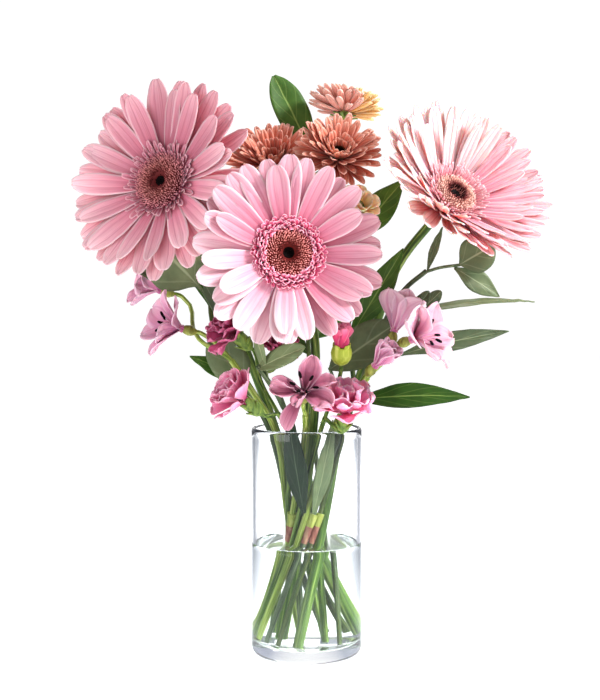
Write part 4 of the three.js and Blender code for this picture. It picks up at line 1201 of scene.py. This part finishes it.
# Alstroemeria: three broad and three narrow tepals, and stamens with dark anthers on pink threads
def alstroemeria(name, bloom, tepal, stamens=True):
    """One bloom on its throat. Open is how far its tepals lean out, and curly is how crumpled they are."""
    chance = random.Random(bloom["seed"])
    place = seat(bloom)
    open_, reach = bloom["open"], bloom["reach"]
    wide, curly = bloom.get("wide", 1), bloom.get("curly", 1)
    throat = turned([(1.2, 0), (2.8, 0), (2.2, 2.6), (1.9, 4.6)], 20)
    meshes = [copy_of(throat, tepal, place)]
    # The outer three are broad. The inner three stand higher, half a step on, and are narrow.
    for width, height, step, lean in ((0.8, 1.4, 0, 0), (0.56, 2.2, 0.5, 4)):
        models = [
            blade(
                reach, reach * width * wide, TEPAL, curl=-open_ * 0.6 + bend * curly, fold=0.1,
                cup=0.1 + 0.25 * (curly - 1), ripple=1.4 * curly, twist=twist * curly, columns=12, rows=14,
                crumple=3.5 * curly, waves=1.2, teeth=0.5 * curly, seed=seed,
            )
            for seed, (bend, twist) in enumerate(((-14, 14), (10, -18), (0, 8)), bloom["seed"])
        ]
        rise = 90 - open_ * 0.62 + lean
        meshes += ring(
            models, tepal, place, chance, 3, 1, height, rise, step, bloom.get("spin", 0), loose=0.9 * curly,
        )
    if "hanging" in bloom:
        drooping = blade(
            1.15 * reach, 0.46 * reach, TEPAL, curl=-74, fold=0.1, cup=0.3, ripple=1.6, twist=-16, columns=10,
            rows=12, crumple=3, waves=1.2, teeth=0.5, seed=bloom["seed"] + 9,
        )
        meshes.append(copy_of(drooping, tepal, place @ spoke(bloom["hanging"], 1, 1.6, 8), chance.random()))
    settle(f"{name}_bloom", meshes, "mauve_tepal", f"{name}_tepals")
    if stamens:
        pistil = turned([(1.4, 4.9), (1.2, 5.6), (0.3, 6.4)], 12)
        threads = [copy_of(pistil, dark_stamen, place, 0.5, 0)]
        thread = blade(
            reach * (0.22 + 0.003 * open_), 0.9, [(0, 0.9), (1, 0.7)], curl=-open_ * 0.25, columns=2, rows=6,
            thick=0.7,
        )
        anther = turned([(0.3, -2.2), (0.8, -1.5), (1.0, 0), (0.8, 1.5), (0.3, 2.2)], 8)
        tip = max((v.co for v in thread.vertices), key=lambda co: co.y).copy()
        for k in range(6):
            lean = 90 - open_ * 0.3 + 10 * chance.uniform(-1, 1)
            turn = 60 * k + 17 + 16 * chance.uniform(-1, 1)
            pose = spoke(turn, 0.8, 5.2, lean, 0, 0.9 + 0.2 * chance.random())
            threads.append(copy_of(thread, tepal, place @ pose, 0.7, 0))
            across = pose @ Matrix.Translation(tip) @ Matrix.Rotation(math.radians(60), 4, "X")
            threads.append(copy_of(anther, dark_stamen, place @ across, 0.3, 1))
        settle(f"{name}_anthers", threads, "dark_stamen", f"{name}_stamens")


tepal_skins = {"front": deep_tepal, "right": pale_tepal, "upper": pale_tepal}
for side, bloom in alstroemerias.items():
    alstroemeria(f"alstroemeria_{side}", bloom, tepal_skins.get(side, mauve_tepal))
alstroemeria("alstroemeria_low", half_open, mauve_tepal, stamens=False)


# Carnations: crumpled fans with a toothed edge, more and more upright to the middle
# Each layer: its count, height and rise, and its petals' share of the length and of the width
CARNATION_LAYERS = (
    (4, 1, 12, 1.0, 1.2), (4, 2, 34, 0.98, 1.15), (3, 3, 56, 0.92, 1.0), (3, 4, 76, 0.82, 0.8),
)


def carnation(side, bloom, petal):
    """One bloom on its foot. Cup is how far it is still closed and calm how little it is crumpled."""
    chance = random.Random(bloom["seed"])
    place = seat(bloom)
    reach, cup, calm = bloom["reach"], bloom["cup"], bloom.get("calm", 1)
    meshes = [copy_of(turned([(1.5, 0), (3.6, 0), (3, 3), (2.4, 6)], 20), petal, place)]
    for count, height, rise, share, wide in CARNATION_LAYERS:
        models = [
            blade(
                reach * share, reach * wide, FAN, curl=curl * calm, cup=0.1, ripple=2.6 * calm, twist=twist,
                columns=20, rows=11, crumple=5 * calm, waves=waves, teeth=1.1, seed=rise + k,
            )
            for k, (curl, twist, waves) in enumerate(((20, 10, 1.6), (-16, -14, 2.2), (6, 5, 1.2)))
        ]
        closing = cup * (1 - rise / 90)
        meshes += ring(
            models, petal, place, chance, count, 1.4, height, rise + closing, chance.random(), loose=1.8,
        )
    settle(f"carnation_{side}_bloom", meshes, "rose_petal", f"carnation_{side}_petals")


carnation_skins = {"right": bright_rose, "left": rose_petal}
for side, bloom in carnations.items():
    carnation(side, bloom, carnation_skins.get(side, deep_rose))

# The bud: furled petal tips that just show above the calyx, round a core that fills it
chance = random.Random(5)
furled = [
    blade(
        bud["reach"] * 1.25, 9.5, CLUB, curl=curl, fold=0.2, cup=0.5, ripple=1.8, twist=twist, columns=12,
        rows=10, crumple=4.5, waves=1.6, teeth=0.9, seed=3 + k,
    )
    for k, (curl, twist) in enumerate(((34, 30), (52, -25), (20, 12)))
]
core = turned([(1, 0), (4.4, 0), (5, 3.4), (4.4, 7), (1.4, 10)], 20)
meshes = [copy_of(core, bud_rose, seat(bud))]
for count, radius, height, rise in ((6, 4.4, 0, 74), (5, 2.6, 0.6, 82)):
    meshes += ring(furled, bud_rose, seat(bud), chance, count, radius, height, rise, loose=2.4)
settle("bud_bloom", meshes, "rose_petal", "bud_petals")


# Stems with their leaves, twigs and calyxes
# What ends a stalk under each kind of bloom: the stalk's radius, and a cup, or an ovary, with rings of
# bracts. Each ring has its count, radius, height and rise, and its bracts' length, width and curl.
calyxes = {
    "gerbera": {
        "skin": calyx_green, "sides": 32,
        "cup": [(GERBERA_STEM, -16), (GERBERA_STEM + 1, -15), (8, -11.5), (12.6, -6.2), (11, -5.8)],
        "bracts": [(20, 6.6, -12, 40, 10, 3.2, -22), (20, 8.4, -9.4, 18, 10.5, 3.4, -10)],
    },
    "coral": {
        "skin": calyx_green, "sides": 20, "stalk": TWIG,
        "cup": [(1, -10), (1.8, -10), (4.9, -5.9), (3, -5.8)],
        "bracts": [(9, 2.6, -8, 26, 8, 2.8, -14)],
    },
    "alstroemeria": {
        "skin": ovary_green, "sides": 18, "stalk": PEDICEL,
        "cup": [(0.8, -10), (1.6, -10), (3.2, -7), (3.6, -4.6), (3.0, -2), (2.1, -0.3)],
        "bracts": [],
    },
    "carnation": {
        "skin": calyx_green, "sides": 20, "stalk": CARNATION_STALK,
        "cup": [(1.2, -15), (2, -15), (3.9, -12.6), (4.7, -10), (4.6, -4), (4.3, -0.4)],
        "bracts": [(5, 4.1, -3.4, 84, 5.6, 4.4, 8), (3, 2.6, -12.8, 58, 8.5, 5.4, 14)],
    },
    "bud": {
        "skin": bud_green, "sides": 28, "stalk": CARNATION_STALK,
        "cup": [(1.2, -13), (2, -13), (4.6, -11.4), (6.5, -8.4), (7, -4.8), (6.4, -2), (5.6, -0.4)],
        "bracts": [(5, 5.6, -2.6, 80, 4.2, 5.2, 12), (3, 2.8, -11.4, 48, 7.5, 5.4, 26)],
    },
}

# The branches of each stem: the points that lead to a bloom, the bloom, how far below its seat the stalk
# turns straight and how far below it the stalk ends, and the kind of its calyx
fork = sprays["coral"]["via"][1:]
left = sprays["alstroemeria_left"]["via"]
front = sprays["alstroemeria_front"]["via"]
right = sprays["alstroemeria_right"]["via"]
low_left = sprays["carnation_left"]["via"]
low_right = sprays["carnation_right"]["via"]
middle = sprays["carnation_middle"]["via"]
branches = {
    "coral": [
        (fork + [[4, 28, 304]], corals["left"], 18, 8, "coral"),
        (fork + [[17, 14, 310]], corals["middle"], 18, 8, "coral"),
        (fork + [[21, 32, 320], [27, 41, 350]], corals["back"], 18, 8, "coral"),
        (fork + [[23, 4, 290]], peach, 16, 8, "coral"),
    ],
    "alstroemeria_left": [
        (left, alstroemerias["left"], 14, 6, "alstroemeria"),
        (left + [[-72, -22, 217]], alstroemerias["far"], 16, 6, "alstroemeria"),
    ],
    "alstroemeria_front": [(front, alstroemerias["front"], 14, 6, "alstroemeria")],
    "alstroemeria_right": [
        (right + [[50, -36, 205]], alstroemerias["right"], 14, 6, "alstroemeria"),
        (right, alstroemerias["upper"], 16, 6, "alstroemeria"),
        (right[:1], half_open, 12, 5, "alstroemeria"),
    ],
    "carnation_left": [
        (low_left, carnations["left"], 18, 12, "carnation"),
        (low_left + [[-31, -25, 190]], carnations["upper"], 18, 12, "carnation"),
    ],
    "carnation_right": [
        (low_right, carnations["right"], 16, 12, "carnation"),
        (low_right + [[17, -31, 180]], bud, 18, 12, "bud"),
    ],
    "carnation_middle": [(middle, carnations["middle"], 18, 12, "carnation")],
}


# Two leaves differ in tone from the others of their stem.
leaf_tones = {"young": bright_leaf, "grey": grey_leaf}


def course(stem):
    """A stem's way in the vase: its foot, where it is still straight above the water, and the mouth."""
    shell = stem["shell"]
    half = math.atan(shell["lean"] * (VASE_HEIGHT - WAIST_HEIGHT) / shell["waist"])
    turn = Matrix.Rotation(math.radians(stem["mouth"]) - half, 3, "Z")
    return [
        turn @ Vector((shell["waist"], shell["lean"] * (z - WAIST_HEIGHT), z))
        for z in (FOOT_HEIGHT, STRAIGHT_TO, VASE_HEIGHT)
    ]


def under(bloom, neck, sink):
    """The last two points of a stalk, on the axis of its bloom, neck and sink below its seat."""
    return [seat(bloom) @ Vector((0, 0, -neck)), seat(bloom) @ Vector((0, 0, -sink))]


def leaf(spec, material, chance):
    """A leaf from its joint with the stem to its tip, its face turned to facing and its back arched."""
    root, tip = Vector(spec["from"]), Vector(spec["to"])
    arch = spec.get("arch", 20)
    along = (tip - root).normalized()
    face = Vector(spec["facing"])
    face = (face - along * face.dot(along)).normalized()
    half = math.radians(arch / 2)
    length = (tip - root).length * half / math.sin(half)
    model = blade(
        length, spec["width"], spec.get("outline", LANCE), curl=-arch, fold=spec.get("fold", 0.18), cup=-0.05,
        ripple=0.8, twist=chance.uniform(-9, 9), columns=10, rows=20, thick=0.6, crumple=2.2,
        seed=int(length * 10),
    )
    pose = Matrix((along.cross(face), along, face)).transposed().to_4x4()
    pose.translation = root
    return copy_of(model, material, pose @ Matrix.Rotation(half, 4, "X"), chance.random())


def calyx(kind, bloom, chance):
    """The green cup or ovary under a bloom, with its bracts."""
    form, place = calyxes[kind], seat(bloom)
    meshes = [copy_of(turned(form["cup"], form["sides"]), form["skin"], place)]
    for count, radius, height, rise, length, width, curl in form["bracts"]:
        models = [blade(length, width, STRAP, curl=curl, fold=0.2, cup=0.1, columns=2, rows=6, thick=0.6)]
        meshes += ring(models, form["skin"], place, chance, count, radius, height, rise)
    return meshes


def sheath(stem, low, high):
    """A dry leaf base that wraps a stem from one height to another and stands off it at its top."""
    foot, above, _ = course(stem)
    run = (above - foot) / (above.z - foot.z)
    collar = low + 0.6 * (high - low)
    parts = []
    for skin, start, stop, below, atop in (
        (brown_sheath, low, collar, 0.4, 0.9),
        (sheath_collar, collar - 0.6, high, 0.95, 1.5),
    ):
        line = [foot + run * (z - foot.z) for z in (start, (start + stop) / 2, stop)]
        parts.append(copy_of(tube(line, stem["radius"] + below, stem["radius"] + atop), skin))
    return parts


def stem_piece(name, stem, radius, skin, leaf_skin=None, top=(), end=None):
    """A stem from its foot to its tip, with its leaves and branches. Gives back the chance as well."""
    chance = random.Random(len(name) * 31 + int(stem["mouth"]))
    line = course(stem) + [Vector(p) for p in stem["via"]] + list(top)
    meshes = [copy_of(tube(line, radius, end), skin)]
    for spec in leaves.get(name, ()):
        meshes.append(leaf(spec, leaf_tones.get(spec.get("tone"), leaf_skin), chance))
    for points, bloom, neck, sink, kind in branches.get(name, ()):
        stalk = tube([Vector(p) for p in points] + under(bloom, neck, sink), calyxes[kind]["stalk"])
        meshes.append(copy_of(stalk, skin))
        meshes += calyx(kind, bloom, chance)
    return meshes, chance


for side, stem in gerbera_stems.items():
    bloom = gerberas[side]
    meshes, chance = stem_piece(
        f"gerbera_{side}", stem, GERBERA_STEM, green_stalk, top=under(bloom, 26, 12), end=2.9,
    )
    meshes += calyx("gerbera", bloom, chance)
    settle(f"gerbera_{side}_stalk", meshes, "green_stalk", f"gerbera_{side}_stem")

# The skin of each stem and of its leaves, and the stems that keep a dry sheath just above the water
stem_skins = {"ruscus": woody_stalk, "eucalyptus": grey_stalk, "alstroemeria": pale_stalk}
leaf_skins = {"eucalyptus_front": grey_leaf, "alstroemeria_right": shade_leaf}
sheathed = ("alstroemeria_front", "eucalyptus_right", "ruscus_right")
for name, stem in sprays.items():
    kind = name.split("_")[0]
    skin = stem_skins.get(kind, green_stalk)
    foliage = leaf_skins.get(name, ruscus_leaf if kind == "ruscus" else eucalyptus_leaf)
    meshes, chance = stem_piece(name, stem, stem["radius"], skin, foliage)
    if name == "eucalyptus_right":
        meshes += [copy_of(tube([Vector(p) for p in twig], TWIG), skin) for twig in eucalyptus_twigs]
    if name in sheathed:
        meshes += sheath(stem, WATER_LEVEL + 2, WATER_LEVEL + 22)
    slot = f"{kind}_leaf" if kind in ("ruscus", "eucalyptus") else "green_stalk"
    settle(f"{name}_stalk", meshes, slot, f"{name}_stem")


# The studio, in metres
def plain_sight(tree):
    """1 where the camera or a matt surface looks, and 0 where glass or water does."""
    sight = add(tree, "LightPath")
    return reckon(tree, "MAXIMUM", sight.outputs["Is Camera Ray"], sight.outputs["Is Diffuse Ray"])


# A sheet of matt white paper, lit from all round, so that it glows evenly. To what looks through the glass
# it is grey beyond a strip along the line of sight. The vase bends its view to the sides, so that this grey
# draws the edges of its clear walls. The strip starts at the foot of the
# vase and widens behind it.
paper, sheet, face = new_material("lit_paper", Roughness=0.9, Emission_Strength=0.62)
spot = add(sheet, "SeparateXYZ", feeds={0: add(sheet, "TexCoord").outputs["Object"]})
widening = spread(sheet, spot.outputs["Y"], -0.3, 0.8, 0.26, -0.1)
aside = reckon(sheet, "ADD", reckon(sheet, "ABSOLUTE", spot.outputs["X"]), widening)
strip = add(
    sheet, "ValToRGB", feeds={0: spread(sheet, aside, 0.16, 0.29)},
    stops=[(0, "#ffffff"), (0.4, "#c4c6cd"), (1, "#85888f")],
)
shown = blend(sheet, plain_sight(sheet), strip.outputs[0], "#fdfdfd")
for socket in ("Base Color", "Emission Color"):
    sheet.links.new(shown, face.inputs[socket])
deselect()
ops.mesh.primitive_plane_add(size=12, location=(0, 0, -0.0003))
floor = bpy.context.object
floor.name = "floor"
floor.data.materials.append(paper)

# To glass the room is white behind the vase and grey to the sides. To all else it is plain white, and
# dimmer to matt surfaces, so that the lamps shape them.
world = bpy.context.scene.world or bpy.data.worlds.new("studio")
bpy.context.scene.world = world
world.use_nodes = True
air = world.node_tree
way = add(air, "SeparateXYZ", feeds={0: add(air, "TexCoord").outputs["Generated"]})
shade = add(
    air, "ValToRGB", feeds={0: spread(air, way.outputs["Y"], -0.7, 1)},
    stops=[(0, "#6d707c"), (0.41, "#9a9eac"), (0.9, "#b4b9c8"), (0.985, "#ffffff")],
)
matt = add(air, "LightPath").outputs["Is Diffuse Ray"]
sky = air.nodes["Background"]
air.links.new(blend(air, plain_sight(air), shade.outputs[0], "#ffffff"), sky.inputs["Color"])
air.links.new(spread(air, matt, 0, 1, 1.05, 0.42), sky.inputs["Strength"])

# Each lamp: its width in metres, its watts, where it hangs and the point that it shines at
for name, size, power, place, aim in (
    ("window", 0.35, 36, (1.15, -0.42, 1.05), (0, 0, 0.25)),
    ("fill", 0.9, 9, (-1.2, -1.0, 0.45), (0, 0, 0.25)),
    ("back", 0.8, 6, (0.2, 1.2, 0.9), (0, 0, 0.28)),
):
    lamp = bpy.data.lights.new(name, "AREA")
    lamp.size = size
    lamp.energy = power
    light = bpy.data.objects.new(name, lamp)
    light.location = place
    light.rotation_euler = (Vector(aim) - Vector(place)).to_track_quat("-Z", "Y").to_euler()
    bpy.context.scene.collection.objects.link(light)

# The camera stands where the photo was taken from, above half of the whole height, and looks a little down.
view = bpy.data.cameras.new("camera")
view.lens = 57.14
view.sensor_fit = "VERTICAL"
view.sensor_height = 36
camera = bpy.data.objects.new("camera", view)
camera.location = (-0.0045, -0.764, 0.233)
camera.rotation_euler = (math.radians(88.2), 0, 0)
bpy.context.scene.collection.objects.link(camera)
bpy.context.scene.camera = camera
bpy.context.scene.view_settings.view_transform = "Standard"
# Light that runs round inside the glass wall turns back many times before it comes out.
bpy.context.scene.cycles.max_bounces = 32
bpy.context.scene.cycles.glossy_bounces = 32
bpy.context.scene.cycles.transmission_bounces = 32
